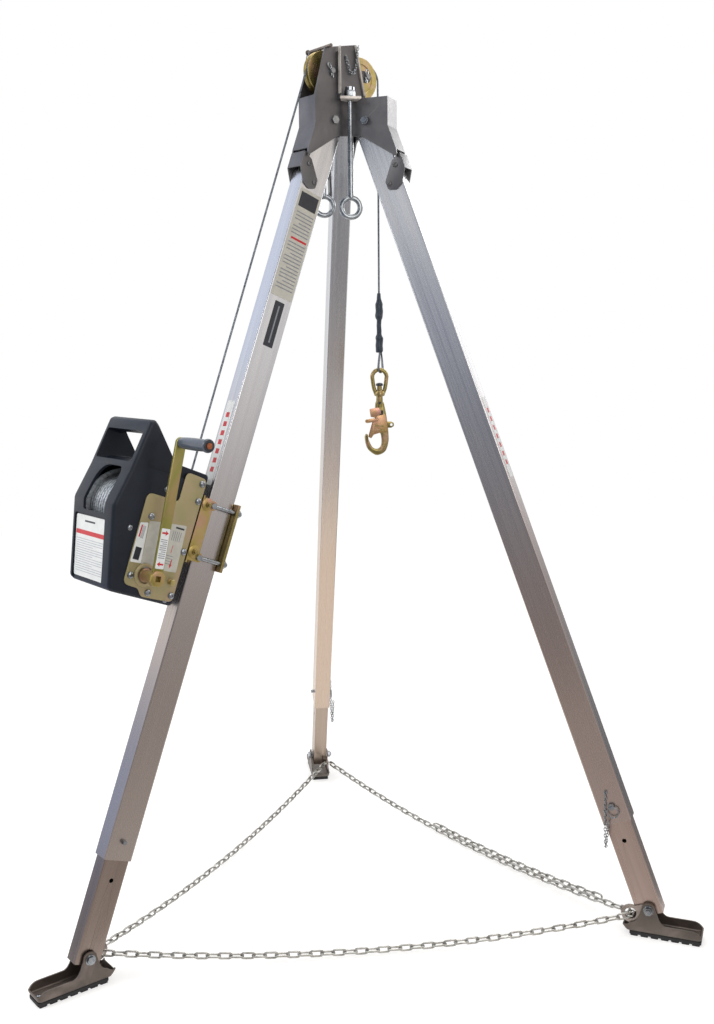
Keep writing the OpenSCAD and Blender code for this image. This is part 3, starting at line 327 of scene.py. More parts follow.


# Extruded aluminium in its mill finish: grey, drawn out in fine lines along the leg, with soft clouded wear,
# and darker and warmer down the leg: a painted reflection of the floor and surround below, in its own tone
# on each leg.
# The lines are drawn some 5 mm apart, coarser than real die lines, so that they show at this distance.
ALUMINIUM = {leg: finish("extruded_aluminium_" + leg, ("#c2c3c6", "#cdcdcf", "#b9babd"), 0.27, 1.0, patch=24,
                         grain=5, depth=0.03, vary=0.06, stretch=(1, 1, 0.012), turn=leg_turn(leg),
                         fade=leg_painted_reflection(leg, 450, 1300, code))
             for leg, code in zip(LEGS, ("#aba19b", "#b5a69f", "#c4b09f"))}
# The inner tubes, darker and browner than the upper ones; each leg gets a lighter or darker copy of the
# colour, painted light and shade for how that leg is lit
INNER_LIT_AND_SHADED_CODES = {"left": ("#8b7d75", "#95877e", "#81746c"), "right": ("#b3a097", "#bba89e", "#a8968d"),
               "rear": ("#ab9a8c", "#b5a496", "#a09083")}
INNER_TUBE = {leg: finish("inner_aluminium_" + leg, INNER_LIT_AND_SHADED_CODES[leg], 0.30, 1.0, patch=24, grain=5,
                          depth=0.03, vary=0.06, stretch=(1, 1, 0.012), turn=leg_turn(leg))
              for leg in LEGS}
# Welded steel under a thin grey finish: neutral grey, half gloss, a little cloudy
HEAD_STEEL = finish("grey_finished_steel", ("#6a6869", "#605f61", "#737172"), 0.42, 0.85,
                    patch=60, grain=2.5, depth=0.02)
# Pressed steel with a dark grey finish, slightly brown, worn dull
SHOE_STEEL = finish("dark_pressed_steel", ("#6d635c", "#5f5751", "#796e67"), 0.42, 0.75,
                    patch=50, grain=3, depth=0.03)
# Bright zinc plate on bolts and nuts: cool grey metal
ZINC = finish("bright_zinc", ("#8f9397", "#9da0a3", "#80858a"), 0.22, 1.0, patch=8, grain=2, depth=0.01)
# The same plate on chain, duller where the links rub
CHAIN_ZINC = finish("zinc_chain", ("#b0aea8", "#c0beb8", "#96938d"), 0.24, 1.0,
                    patch=12, grain=2, depth=0.02)
# Yellow chromate over zinc: gold that drifts to olive and to pink
YELLOW_ZINC = finish("yellow_chromate", ("#9c8a58", "#877c4c", "#b8937a"), 0.32, 0.9,
                     patch=26, grain=2.5, depth=0.01)
# The same chromate, pale, on a sheave and on a stud
PALE_ZINC = finish("pale_chromate", ("#c0ae74", "#ae9f66", "#c9ad92"), 0.34, 0.85,
                   patch=22, grain=2, depth=0.01)
# Gear cover of plated sheet, tan with a pink bloom
COVER_ZINC = finish("tan_chromate", ("#a2946f", "#9a9069", "#a89276"), 0.50, 0.45,
                    patch=45, grain=2, depth=0.01)
# Rose bloom of thick chromate on the hook's gate and lock
ROSE_ZINC = finish("rose_chromate", ("#bf9478", "#b08f5e", "#c69286"), 0.36, 0.8,
                   patch=30, grain=2, depth=0.01)
# Chromate on the crank arm, smooth olive with a warm edge
ARM_ZINC = finish("olive_chromate", ("#9c9150", "#8e8c4c", "#ab8f66"), 0.36, 0.8,
                  patch=90, grain=2, depth=0.01)
# Chromate on the mount, gold with rose
MOUNT_ZINC = finish("gold_chromate", ("#b39a68", "#a6934f", "#bd8f80"), 0.36, 0.8,
                    patch=34, grain=2, depth=0.01)
# Plain plated steel of the chain plates, tan grey
PLATE_STEEL = finish("tan_plated_steel", ("#a0958d", "#968b84", "#aca199"), 0.36, 0.85,
                     patch=40, grain=2, depth=0.02)
# A lighter copy of the head's grey steel: painted light on plate edges, a rib face and the eye shelves,
# which face the light
HEAD_STEEL_LIT = finish("head_steel_painted_light", ("#cbc4bc", "#b5ada5"), 0.42, 0.3, patch=20, grain=2, depth=0.02)
# Copper coloured plate on the crank's bolt
COPPER = finish("copper_plate", ("#b06a45", "#8f5138"), 0.35, 0.9, patch=4, grain=1.5)
# Moulded ABS: dark navy, with the fine spark grain of a mould
HOUSING_ABS = finish("moulded_navy_abs", ("#181e29", "#151a24"), 0.44, 0.0,
                     patch=30, grain=1.6, depth=0.08, vary=0.05, gleam=0.28)
# Moulded nylon grip: smooth slate grey
GRIP_NYLON = finish("slate_nylon", ("#4b525d", "#454c57"), 0.34, 0.0,
                    patch=20, grain=1.5, depth=0.02, coat=0.2)
# Moulded rubber: near black and dull
RUBBER = finish("moulded_rubber", ("#1b1a1b", "#232122"), 0.72, 0.0, patch=20, grain=1.5, depth=0.1)
# Heat shrink tube: black, lightly glossy where it is tight
SHRINK = finish("shrink_tube", ("#1d2632", "#263240"), 0.42, 0.0, patch=9, grain=2.5, depth=0.15)
# Galvanised wire rope: grey strands with dark grease between them
WIRE = finish("galvanised_wire", ("#5d6268", "#7b8086", "#474c52"), 0.36, 0.9,
              patch=5, grain=1.2, depth=0.03)
# Wire on the drum, polished by its own turns, darker on the inner side of each turn near the drum's axis:
# painted shade in the crevices between the turns and against the drum
DRUM_AT = Matrix([OUT["left"], ALONG["left"], DOWN["left"]]) @ Vector(JOINTS["drum_turn"]["pos_m"])
WOUND_WIRE = finish("wound_wire", ("#c4c8cc", "#7d8389"), 0.42, 0.6, patch=5, grain=1.2, depth=0.03,
                    turn=leg_turn("left"), crevice_shade=((DRUM_AT[0], 0, DRUM_AT[2]), 0.0795, 0.0812, "#202429"))
# Cast aluminium of the drum, sand grey, painted much lighter and less metallic than the metal: painted light
# for the drum, which lies in shade inside the shell
CAST_PAINTED_LIGHT = finish("cast_aluminium_painted_light", ("#cfd4d9", "#a7adb4"), 0.55, 0.1, patch=5, grain=1.5, depth=0.12)
# Cut steel of the gear and the pinion
CUT_STEEL = finish("cut_steel", ("#8b8d90", "#9a9c9e"), 0.35, 1.0, patch=10, grain=1.5)
# Vinyl label stock, white or silvery, and flat inks; the dark one is also the colour of black steel, and
# painted shade on the patches that stand for bores and a slot
STICKER = finish("white_vinyl", ("#dedfde", "#d6d7d6"), 0.38, 0.0, patch=18, grain=2, vary=0.03)
SILVER_STICKER = finish("silver_vinyl", ("#bdbab0", "#b3b0a6"), 0.36, 0.2, patch=14, grain=2, vary=0.03)
RED_INK = finish("red_ink", ("#c4232a", "#b81f27"), 0.42, 0.0, patch=12, grain=2, vary=0.03)
GREY_INK = finish("grey_ink", ("#84868c", "#787a80"), 0.45, 0.0, patch=6, grain=2, vary=0.03)
PALE_INK = finish("pale_ink", ("#b4b6bb", "#a9abb1"), 0.45, 0.0, patch=6, grain=2, vary=0.03)
DARK_INK_AND_SHADE = finish("dark_ink_and_shade", ("#23262e", "#1e2128"), 0.42, 0.0, patch=12, grain=2, vary=0.03)


# Pieces


def mesh_of(name, points, faces):
    """A mesh of points and faces, its doubles merged and its faces turned outwards."""
    mesh = bpy.data.meshes.new(name)
    mesh.from_pydata(points.tolist(), [], faces)
    bm = bmesh.new()
    bm.from_mesh(mesh)
    bmesh.ops.remove_doubles(bm, verts=bm.verts, dist=1e-6)
    bmesh.ops.recalc_face_normals(bm, faces=bm.faces)
    bm.to_mesh(mesh)
    bm.free()
    return mesh


def piece(name, shapes, material, body, replaces=(), sharp=38):
    """One object of one or more surfaces, smooth but for its sharp edges, riding on its body."""
    starts = np.cumsum([0] + [len(points) for points, _ in shapes])
    faces = [[int(i) + int(n) for i in f] for n, (_, fs) in zip(starts, shapes) for f in fs]
    mesh = mesh_of(name, np.concatenate([points for points, _ in shapes]), faces)
    mesh.polygons.foreach_set("use_smooth", np.ones(len(mesh.polygons), bool))
    mesh.set_sharp_from_angle(angle=math.radians(sharp))
    mesh.materials.append(material)
    made = bpy.data.objects.new(name, mesh)
    bpy.context.scene.collection.objects.link(made)
    if body:
        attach(made, body)
    if replaces:
        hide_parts(*replaces)
    return made


def bevel(made, width, segments=2, angle=40):
    """Rounds the sharp edges of a piece."""
    cut = made.modifiers.new("edges", "BEVEL")
    cut.width = width * MM
    cut.segments = segments
    cut.limit_method = "ANGLE"
    cut.angle_limit = math.radians(angle)
    cut.harden_normals = True


def dress(names, material, edge=0.0):
    """Gives CAD nodes a finish and, where edge is set, small rounded edges."""
    for name in names:
        made = NODES[name]
        made.data.materials.clear()
        made.data.materials.append(material)
        if edge:
            weld = made.modifiers.new("weld", "WELD")
            weld.merge_threshold = 2e-6
            bevel(made, edge)


def cut_out(shape, cutters):
    """A closed surface with other closed surfaces cut away from it."""
    solids = []
    for points, faces in [shape] + cutters:
        solids.append(bpy.data.objects.new("scratch", mesh_of("scratch", points, faces)))
        bpy.context.scene.collection.objects.link(solids[-1])
    for tool in solids[1:]:
        step = solids[0].modifiers.new("cut", "BOOLEAN")
        step.operation = "DIFFERENCE"
        step.solver = "EXACT"
        step.object = tool
    done = solids[0].evaluated_get(bpy.context.evaluated_depsgraph_get()).to_mesh()
    points = np.zeros(len(done.vertices) * 3)
    done.vertices.foreach_get("co", points)
    faces = [list(p.vertices) for p in done.polygons]
    for made in solids:
        bpy.data.objects.remove(made)
    return points.reshape(-1, 3), faces


def standing(right, up, back, place):
    """The matrix of something at a place whose own x, y and z lie along three directions."""
    return Matrix(np.vstack([np.column_stack([right, up, back, place]), [0, 0, 0, 1]]).tolist())


# Camera: the photograph's place, in millimetres and degrees about the tripod's axis
AZIMUTH, ELEVATION, ROLL, DISTANCE = -8.7, 8.4, -0.5, 2880.4
AIM_ACROSS, AIM_UP = 17.7, 1000.7
FOCAL_PIXELS, FRAME_H = 1130, 1024
SENSOR = 36.0


def set_camera():
    """The camera, looking at the aim from its distance at the fitted angles."""
    a, e, roll = (math.radians(v) for v in (AZIMUTH, ELEVATION, ROLL))
    right = np.array([math.cos(a), math.sin(a), 0])
    back = np.array([math.sin(a) * math.cos(e), -math.cos(a) * math.cos(e), math.sin(e)])
    up = np.cross(back, right)
    place = AXIS + MM * (AIM_ACROSS * right + AIM_UP * UP + DISTANCE * back)
    camera = bpy.data.objects.new("camera", bpy.data.cameras.new("camera"))
    camera.data.sensor_width = SENSOR
    camera.data.lens = SENSOR * FOCAL_PIXELS / FRAME_H
    bpy.context.scene.collection.objects.link(camera)
    camera.matrix_world = standing(math.cos(roll) * right + math.sin(roll) * up,
                                   math.cos(roll) * up - math.sin(roll) * right, back, place)
    bpy.context.scene.camera = camera


set_camera()

# Ropes
ROPE_D = 4.8
ROPE_LAY = 34.0
STRANDS = 6
SHEAVE_R, WIND_R = 45.0, 78.0
SHEAVE_OUT, SHEAVE_IN, DROP_R = 70.0, 38.0, 100.0
WIND_TURNS, WIND_PITCH, WIND_NEAR = 22, 5.5, 3.2
WIND_WIRE, WIND_RIDE, WIND_STEPS = 2.35, 1.4, 72
LEG_TILT = math.degrees(math.acos(-DOWN["left"][2]))
DRUM_U, DRUM_S = 165.0, 1018.0
SHEAVE_Z = JOINTS["sheave_left_turn"]["pos_m"][2] / MM


def rope(path, side, step=2.8, points=18):
    """A stranded rope along a path: its outline has a lobe for each strand and turns once in each lay."""
    path, run = even(path, step * MM)
    a = np.linspace(0, 2 * math.pi, points, endpoint=False)
    turn = 2 * math.pi * run[:, None] / (ROPE_LAY * MM)
    r = ROPE_D / 2 * MM * (0.90 + 0.16 * np.abs(np.cos(STRANDS / 2 * (a - turn))))
    return sweep(path, np.stack([r * np.cos(a), r * np.sin(a)], -1), side)


def rope_line():
    """Turn, in degrees, of the rope's straight run: the tangent common to the winding and the sheave."""
    drum = np.array(JOINTS["drum_turn"]["pos_m"]) - AXIS
    run_x = drum @ RADIAL["left"] / MM - SHEAVE_OUT
    run_z = SHEAVE_Z - drum[2] / MM
    lean = math.asin((SHEAVE_R + WIND_R) / math.hypot(run_x, run_z))
    return math.degrees(math.atan2(run_x, run_z) - lean)


RUN_TURN = rope_line()


def wind_point(turns):
    """The winding's centre line: a helix about the drum, starting where the straight run leaves it.

    Every second turn rides higher, and rises and falls over a twelfth of a turn at its ends.
    """
    turns = np.asarray(turns, float)
    a = np.radians(180 + RUN_TURN - LEG_TILT) + 2 * math.pi * turns
    v = WIND_NEAR - WIND_PITCH * turns
    r = WIND_R + WIND_RIDE * np.clip(12 * np.minimum(turns % 2 - 1, 2 - turns % 2), 0, 1)
    return on_leg("left", DRUM_U + r * np.cos(a), v, DRUM_S - r * np.sin(a))


def make_ropes():
    """The rope's straight run, its way over both sheaves, and its turns on the drum."""
    turn = math.radians(RUN_TURN)
    low = wind_point(0.0)
    high = on_head("left", SHEAVE_OUT + SHEAVE_R * math.cos(turn), 0, SHEAVE_Z + SHEAVE_R * math.sin(turn))
    run = piece("hoist_rope_run", [rope(np.stack([low, high]), ALONG["left"])], WIRE, None,
                ["rope_run"])
    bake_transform(run)
    a = np.linspace(turn, math.pi / 2, 30)
    up = on_head("left", SHEAVE_OUT + SHEAVE_R * np.cos(a), 0, SHEAVE_Z + SHEAVE_R * np.sin(a))
    b = np.linspace(math.pi / 2, math.pi, 30)
    over = on_head("left", -SHEAVE_IN + (DROP_R - SHEAVE_IN) * np.cos(b), 0, SHEAVE_Z + SHEAVE_R * np.sin(b))
    piece("hoist_rope_over", [rope(np.concatenate([up, over]), ALONG["left"])], WIRE, "head",
          ["rope_over_sheaves"])
    around = wind_point(np.linspace(0, WIND_TURNS, WIND_TURNS * WIND_STEPS + 1))
    piece("wound_rope", [sweep(around, ring(WIND_WIRE, 12), ALONG["left"])], WOUND_WIRE, "drum",
          ["drum_winding"])


make_ropes()

# Hanging rope and its eye
DROP_LEN = 509.0
SLEEVE_TOP = SHEAVE_Z - DROP_LEN
SLEEVE_TAIL, SLEEVE_LEN, SLEEVE_NECK = 25.0, 41.0, 42.0
SLEEVE_FOOT = SLEEVE_TOP - SLEEVE_TAIL - 2 * SLEEVE_LEN - SLEEVE_NECK
THIMBLE_R, THIMBLE_Z = 14.0, SLEEVE_FOOT - 36.0
BAIL_TOP = THIMBLE_Z - THIMBLE_R + 8.8
BAIL_HALF, BAIL_WIRE, BAIL_DROP = 18.5, 4.6, 62.0
SWIVEL_Z = BAIL_TOP - BAIL_DROP
NECK_Z = SWIVEL_Z - 7.3
BOWL_Z = NECK_Z - 122.0
EYE_TURN = (math.sin(math.radians(35)), math.cos(math.radians(35)))


def make_sleeve():
    """Shrunk sleeves over two ferrules: a turned outline that bulges at each and lies uneven round it."""
    z = np.linspace(0, SLEEVE_TOP - SLEEVE_FOOT, 90)
    stops = [0, 2, 8, 30, 37, 41, 46, 78, 83, 87, 92, 116, 122, 126, 134, 148, 150]
    radii = [6.5, 8.8, 9.4, 9.2, 9.9, 8.6, 6.2, 5.9, 6.4, 8.8, 9.8, 9.2, 9.6, 8.0, 5.6, 4.4, 3.4]
    r = np.interp(z, stops, radii)
    a = np.linspace(0, 2 * math.pi, 28, endpoint=False)
    uneven = 1 + 0.09 * np.sin(2 * a + z[:, None] / 6) * np.cos(a - z[:, None] / 11)
    r = r[:, None] * uneven
    points = on_hook(r * np.cos(a), r * np.sin(a) * 0.92, SLEEVE_FOOT + z[:, None])
    return grid(points, wrap_cols=True, caps=True)


def eye_path():
    """The rope's eye: down one side, round the thimble and up the other, in a plane turned aside."""
    a = np.linspace(0, math.pi, 17)[1:-1]
    y = np.concatenate([[-3.5, -5, -10], -THIMBLE_R * np.cos(a), [10, 5, 3.5]])
    z = np.concatenate([[2, -3, -20], THIMBLE_Z - SLEEVE_FOOT - THIMBLE_R * np.sin(a), [-20, -3, 2]])
    return on_hook(3.0 + EYE_TURN[0] * y, EYE_TURN[1] * y, SLEEVE_FOOT + z)


def make_hook_line():
    """The hanging rope, the sleeves and thimble of its eye, and the swivel under it."""
    top, foot = on_hook(0, 0, SHEAVE_Z - 0.3), on_hook(0, 0, SLEEVE_TOP)
    path = np.linspace(top, on_hook(0, 0, SLEEVE_FOOT), 32)
    drop = piece("hoist_rope_drop", [rope(path, [0, 1, 0])], WIRE, None, ["rope_drop"])
    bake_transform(drop)
    sleeve = piece("shrunk_sleeves", [make_sleeve()], SHRINK, "hook_line", ["rope_sleeve"])
    eye = smooth(eye_path(), 70)
    thimble = smooth(eye_path() + 0.0035 * unit(on_hook(3.0, 0, THIMBLE_Z) - eye_path()), 60)[4:-4]
    eye_rope = piece("rope_eye", [rope(eye, [1, 0, 0])], WIRE, "hook_line")
    gutter = piece("thimble", [sweep(thimble, ring(1.4, 8, 3.0), [EYE_TURN[1], -EYE_TURN[0], 0])], ZINC,
                   "hook_line")
    a = np.linspace(0, math.pi, 25)
    x = np.concatenate([[7, 11, 15], BAIL_HALF * np.cos(a), [-15, -11, -7]])
    z = np.concatenate([[-5, 4, 16], BAIL_DROP - BAIL_HALF - 2 + BAIL_HALF * np.sin(a), [16, 4, -5]])
    loop = smooth(np.stack([x, 0 * x, z + SWIVEL_Z], -1), 80)
    base = [(2, -7), (11, -7), (13.5, -5), (14, 0), (12.5, 5), (9, 8), (6.4, 8.4), (6.2, 20), (2, 20)]
    piece("swivel_eye", [sweep(on_hook(*loop.T), ring(BAIL_WIRE, 14, 1.12), [0, 1, 0]),
                         lathe(base, on_hook(0, 0, SWIVEL_Z), UP)],
          YELLOW_ZINC, "hook_line", ["swivel_bail"])
    head = [(2, 18.8), (8.8, 19.2), (9.2, 22), (8, 25), (4, 26.6), (1, 26.8)]
    piece("swivel_head", [lathe(head, on_hook(0, 0, SWIVEL_Z), UP, 24)], DARK_INK_AND_SHADE, "hook_line")


def flat_on_hook(x, z, h):
    """A point on the hook's flat side: x across it, z up, h towards the front."""
    return on_hook(x, -h, z)


def make_hook():
    """The snap hook: a forged plate that widens to its bowl, with a swivel stem, gate, box and lever."""
    z = BOWL_Z - 29.5
    front = [0, -1, 0]
    body = [(-9, 138), (8, 138), (14, 120), (19.5, 88), (22.5, 58), (22.5, 34), (14, 10), (-6, 0), (-22, 7),
            (-34, 21), (-39, 44), (-37, 54), (-32, 54), (-28.5, 39), (-20, 22), (-9, 16.5), (0, 20),
            (4.5, 32), (2.5, 54), (-7, 65), (-13, 86), (-12, 112)]
    outline = smooth(np.array(body) + [0, z], 96, loop=True)
    stem = [(5.8, -28), (8.6, -28), (8.6, -10), (8.2, -2), (8.2, 0), (5.4, 0), (5.4, 6)]
    lug = fillet([(15, 70), (30, 70), (37, 74), (37, 82), (31, 86), (15, 86)], 4)
    hole = lathe([(3.6, -9), (3.6, 9)], flat_on_hook(30.5, z + 78, 0), front, 20)
    piece("snap_hook", [plate(outline, -6.4, 6.4, flat_on_hook, edge=4.2, steps=5),
                        lathe(stem, on_hook(0, 0, NECK_Z), UP),
                        cut_out(plate(lug + [0, z], -3.2, 3.2, flat_on_hook, edge=1.2), [hole])],
          YELLOW_ZINC, "hook", ["hook_body"])
    # Painted shade: a dark patch and a dark disc on the hook's face, for its slot and a bore
    slot = fillet([(-2, 103), (8, 104), (9, 116), (-1, 115)], 2.5)
    bore = lathe([(3.4, 0), (3.4, 0.6), (1, 0.7)], on_hook(-1, -8.4, NECK_Z - 17), front, 18)
    piece("hook_slot_shade", [plate(slot + [0, z], 6.0, 6.7, flat_on_hook, 0.2, 2), bore], DARK_INK_AND_SHADE, "hook")
    cheek = fillet([(-15.5, 86), (-9.5, 101), (13.5, 106), (18, 86), (19.5, 60), (0, 58), (-17, 53.5),
                    (-23.5, 44), (-29, 47), (-18, 85)], [4, 5, 5, 8, 5, 4, 6, 2, 3, 8], 5) + [0, z]
    rivet = [(4.6, 0), (4.6, 1.0), (3.0, 2.0), (1, 2.3)]
    piece("snap_gate", [plate(cheek, -8.4, -6.8, flat_on_hook, 0.6),
                        plate(cheek, 6.8, 8.4, flat_on_hook, 0.6),
                        lathe(rivet, flat_on_hook(-8.5, z + 92, 8.2), front, 18)],
          ROSE_ZINC, "gate", ["hook_gate"])
    strips = [fillet([(-15.5, 75), (9, 72.5), (9.5, 77), (-15, 79.5)], 1),
              fillet([(-17, 65), (11, 62.5), (11.5, 67), (-16.5, 69.5)], 1)]
    piece("gate_strips", [plate(s + [0, z], 8.2, 9.0, flat_on_hook, 0.3, 2) for s in strips], YELLOW_ZINC,
          "gate")
    box_side = fillet([(-28, 119.5), (-5, 123.5), (0, 118), (2, 107), (-15, 97.5), (-25, 99)], 2.5)
    lever = fillet([(-6, 89), (-18, 86), (-34, 83.5), (-37, 88), (-34, 93), (-17, 96)], 2.5)
    ring_end = [(4.6, -1.4), (4.6, 1.4), (2.2, 1.4), (2.2, -1.4)]
    piece("snap_lock", [plate(box_side + [0, z], 9.2, 12.0, flat_on_hook, 0.9),
                        plate(lever + [0, z], 9.2, 11.2, flat_on_hook, 0.8),
                        lathe(ring_end, flat_on_hook(-35, z + 88.5, 11.2), front, 18)],
          ROSE_ZINC, "lock", ["hook_lock"])


make_hook_line()
make_hook()

# Chain
CHAIN_WIRE, LINK_IN, LINK_GAP, LINK_PLAY, LINK_SLACK = 5.0, 27.0, 8.0, 1.2, 0.3
LINK_BEND = (LINK_GAP + CHAIN_WIRE) / 2
LINK_HALF = (LINK_IN - LINK_GAP) / 2
LINK_LEAD = LINK_PLAY + LINK_HALF + LINK_BEND
CHAIN_SAG = 43.0
EAR_U, EAR_V = -45.0, -22.3
TAIL_FROM, TAIL_LINKS, TAIL_SIDE = 4, 24, 18.3
FOOT_S = {leg: float((FOOT_AT[leg] - PIVOT[leg]) @ DOWN[leg]) / MM for leg in LEGS}
EAR = {leg: on_leg(leg, EAR_U, EAR_V, FOOT_S[leg]) for leg in LEGS}
# Shares of a chain run where it passes from the lower leg to the upper leg, and on to the head
CHAIN_SPLIT = (-0.2, 0.2, 0.5, 0.8, 1.2)


def link_shape(points=18, sides=7):
    """One chain link: a round wire carried round two straights and two half circles, along x."""
    a = np.linspace(-math.pi / 2, math.pi / 2, points // 2)
    x = np.concatenate([LINK_HALF + LINK_BEND * np.cos(a), -LINK_HALF - LINK_BEND * np.cos(a)])
    y = np.concatenate([LINK_BEND * np.sin(a), -LINK_BEND * np.sin(a)])
    return sweep(MM * np.stack([x, y, 0 * x], -1), ring(CHAIN_WIRE / 2, sides), UP, loop=True)


def links_at(link, centres, ahead, side, rolled):
    """Copies of a link at centres, its length ahead and square to side, some rolled a quarter turn."""
    points, faces = link
    ahead = unit(ahead)
    across = unit(np.cross(side, ahead))
    flat = np.where(np.asarray(rolled)[:, None], np.cross(ahead, across), across)
    frames = np.stack([ahead, flat, np.cross(ahead, flat)], 1)
    placed = centres[:, None] + np.einsum("vk,lkd->lvd", points, frames)
    steps = np.arange(len(centres))[:, None, None] * len(points)
    return placed.reshape(-1, 3), (np.array(faces)[None] + steps).reshape(-1, 4).tolist()


def bow(a, b, t):
    """A shallow bow between two points."""
    t = np.asarray(t, float)[..., None]
    return a + (b - a) * t - UP * 4 * CHAIN_SAG * MM * t * (1 - t)


def chain_run(name, first, second, side_first, side_second, start=0, count=1000, aside=0.0):
    """A run of chain between two feet, made as stretches split at the shares of CHAIN_SPLIT, none of them
    riding a body.
    """
    a = EAR[first] + side_first * LINK_HALF * MM * ALONG[first]
    b = EAR[second] + side_second * LINK_HALF * MM * ALONG[second]
    span = float(np.linalg.norm(b - a)) / MM
    links = 1 + math.ceil((span - 2 * LINK_LEAD) / (LINK_IN - LINK_SLACK))
    lead = LINK_LEAD / span
    number = np.arange(start, min(start + count, links))
    t = lead + number * (1 - 2 * lead) / (links - 1)
    level = unit(b - a)
    offset = aside * MM * np.array([level[1], -level[0], 0])
    for k in range(4):
        held = (t >= CHAIN_SPLIT[k]) & (t < CHAIN_SPLIT[k + 1])
        if not held.any():
            continue
        centre = bow(a, b, t[held])
        ahead = bow(a, b, t[held] + 0.002) - centre
        shape = links_at(link_shape(), centre + offset, ahead, UP, number[held] % 2 == 0)
        made = piece(f"{name}_{k + 1}", [shape], CHAIN_ZINC, None, [name], sharp=60)
        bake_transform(made)


def make_chain():
    """The links in the feet's ears, the chain's three runs and its loose end."""
    for leg in LEGS:
        shape = links_at(link_shape(), EAR[leg][None], ALONG[leg][None], UP, [False])
        piece("ear_link_" + leg, [shape], CHAIN_ZINC, leg + "_lower", sharp=60)
    chain_run("chain_front", "left", "right", 1, -1)
    chain_run("chain_left", "left", "rear", -1, 1)
    chain_run("chain_right", "right", "rear", 1, -1)
    chain_run("chain_tail", "right", "rear", 1, -1, TAIL_FROM, TAIL_LINKS, TAIL_SIDE)


make_chain()

# Winch shell, in the left leg's frame
SHELL_NEAR, SHELL_FAR = 42.0, -156.0
SHELL_ROUND = 9.0
ROOF_S, TOP_S, LOW_S, CROWN_S = 916.8, 818.8, 1204.7, DRUM_S + 4
BACK_U, FRONT_U = 59.8, 272.2
WINDOW_V = (-102.0, 4.0)
WINDOW_S = (936.0, 1046.0)
FACE_DEEP = 4.0
# The front face runs down and in from its crown: q along it, v across, h above it
FACE_Q = np.array([-46.2, 177.7]) / math.hypot(46.2, 177.7)


def on_face(v, q, h):
    """A point on the shell's front face: v across it, q down it from its crown, h above it."""
    u = FRONT_U + FACE_Q[0] * q + FACE_Q[1] * h
    return on_leg("left", u, v, CROWN_S + FACE_Q[1] * q - FACE_Q[0] * h)


def at_shell(u, s, v):
    """A point on the winch: u outwards, s down the leg, v along the drum."""
    return on_leg("left", u, v, s)


def make_shell():
    """The moulded shell: an outline with rounded rims, cut by its gap, hollow, window and side steps."""
    outline = [(BACK_U, ROOF_S - 19), (DRUM_U - 15, ROOF_S - 21), (DRUM_U + 52, TOP_S + 10),
               (DRUM_U + 66, TOP_S), (DRUM_U + 77, TOP_S + 9), (FRONT_U - 16, DRUM_S - 78),
               (FRONT_U, CROWN_S), (DRUM_U + 62, LOW_S - 6), (DRUM_U + 50, LOW_S), (BACK_U, LOW_S)]
    shell = block(outline, [10, 16, 16, 12, 12, 40, 26, 14, 14, 10], SHELL_FAR, SHELL_NEAR, at_shell,
                  SHELL_ROUND)
    gap = [(DRUM_U - 70, ROOF_S - 24), (DRUM_U + 10, ROOF_S - 66), (DRUM_U + 38, TOP_S + 26),
           (DRUM_U + 48, TOP_S + 32), (FRONT_U + 20, TOP_S + 32), (FRONT_U + 20, ROOF_S + 6),
           (DRUM_U + 76, ROOF_S + 6), (DRUM_U + 40, ROOF_S - 8)]
    hollow = fillet([(BACK_U + 6, ROOF_S + 2), (FRONT_U - 27, ROOF_S + 8), (FRONT_U - 6, CROWN_S),
                     (DRUM_U + 54, LOW_S - 8), (BACK_U + 6, LOW_S - 8)], 10, 5)
    window = fillet(box(*WINDOW_V, *WINDOW_S), [60, 18, 8, 8], 8)
    step = fillet([(BACK_U - 30, ROOF_S + 2), (BACK_U - 30, ROOF_S - 60), (DRUM_U + 40, TOP_S - 30),
                   (DRUM_U + 46, TOP_S + 20), (DRUM_U + 58, ROOF_S + 8)], [2, 2, 2, 6, 10], 4)
    cutters = [
        block(gap, [8, 10, 10, 14, 8, 8, 8, 16], SHELL_FAR + 15, SHELL_NEAR - 15, at_shell, 6),
        plate(hollow, SHELL_FAR + 6, SHELL_NEAR - 6, at_shell, 4, 3),
        plate(window, DRUM_U + 60, FRONT_U + 30, lambda v, s, u: on_leg("left", u, v, s), 0.5, 2),
        plate(step, SHELL_NEAR - 6, SHELL_NEAR + 20, at_shell, 0.5, 2),
        plate(step, SHELL_FAR - 20, SHELL_FAR + 6, at_shell, 0.5, 2),
        plate(fillet(box(-142, 6, 35, 215), 8), -FACE_DEEP, 30, on_face, 0.5, 2),
    ]
    made = piece("winch_shell", [cut_out(shell, cutters)], HOUSING_ABS, "left_leg",
                 ["winch_housing"], sharp=30)
    bevel(made, 2.2, 3, 42)


def sticker(name, outline, place, corner, marks, body="left_leg", stock=STICKER,
            low=0.05):
    """A thin label and what is printed on it; marks pair an ink with a list of outlines."""
    piece(name, [plate(fillet(outline, corner), low, low + 0.45, place, 0.1, 2)], stock, body)
    for ink, shapes in marks:
        printed = [plate(s, low + 0.3, low + 0.62, place, 0.05, 2) for s in shapes]
        piece(f"{name}_{ink.name}", printed, ink, body)


def arrow(x, y, length, width, along_x=True):
    """An arrow's outline from its tail at x, y."""
    shape = np.array([(0, -0.18), (0.55, -0.18), (0.55, -0.5), (1, 0), (0.55, 0.5), (0.55, 0.18), (0, 0.18)])
    shape = shape * [length, width]
    return (shape if along_x else shape[:, ::-1]) + [x, y]


def lines(x0, x1, y0, step, count, thick, cut=0.0):
    """Rows of plain bars, the last of every four cut short."""
    ends = [x1 - (cut if i % 4 == 3 else 0) for i in range(count)]
    return [box(x0, end, y0 + i * step, y0 + i * step + thick) for i, end in enumerate(ends)]


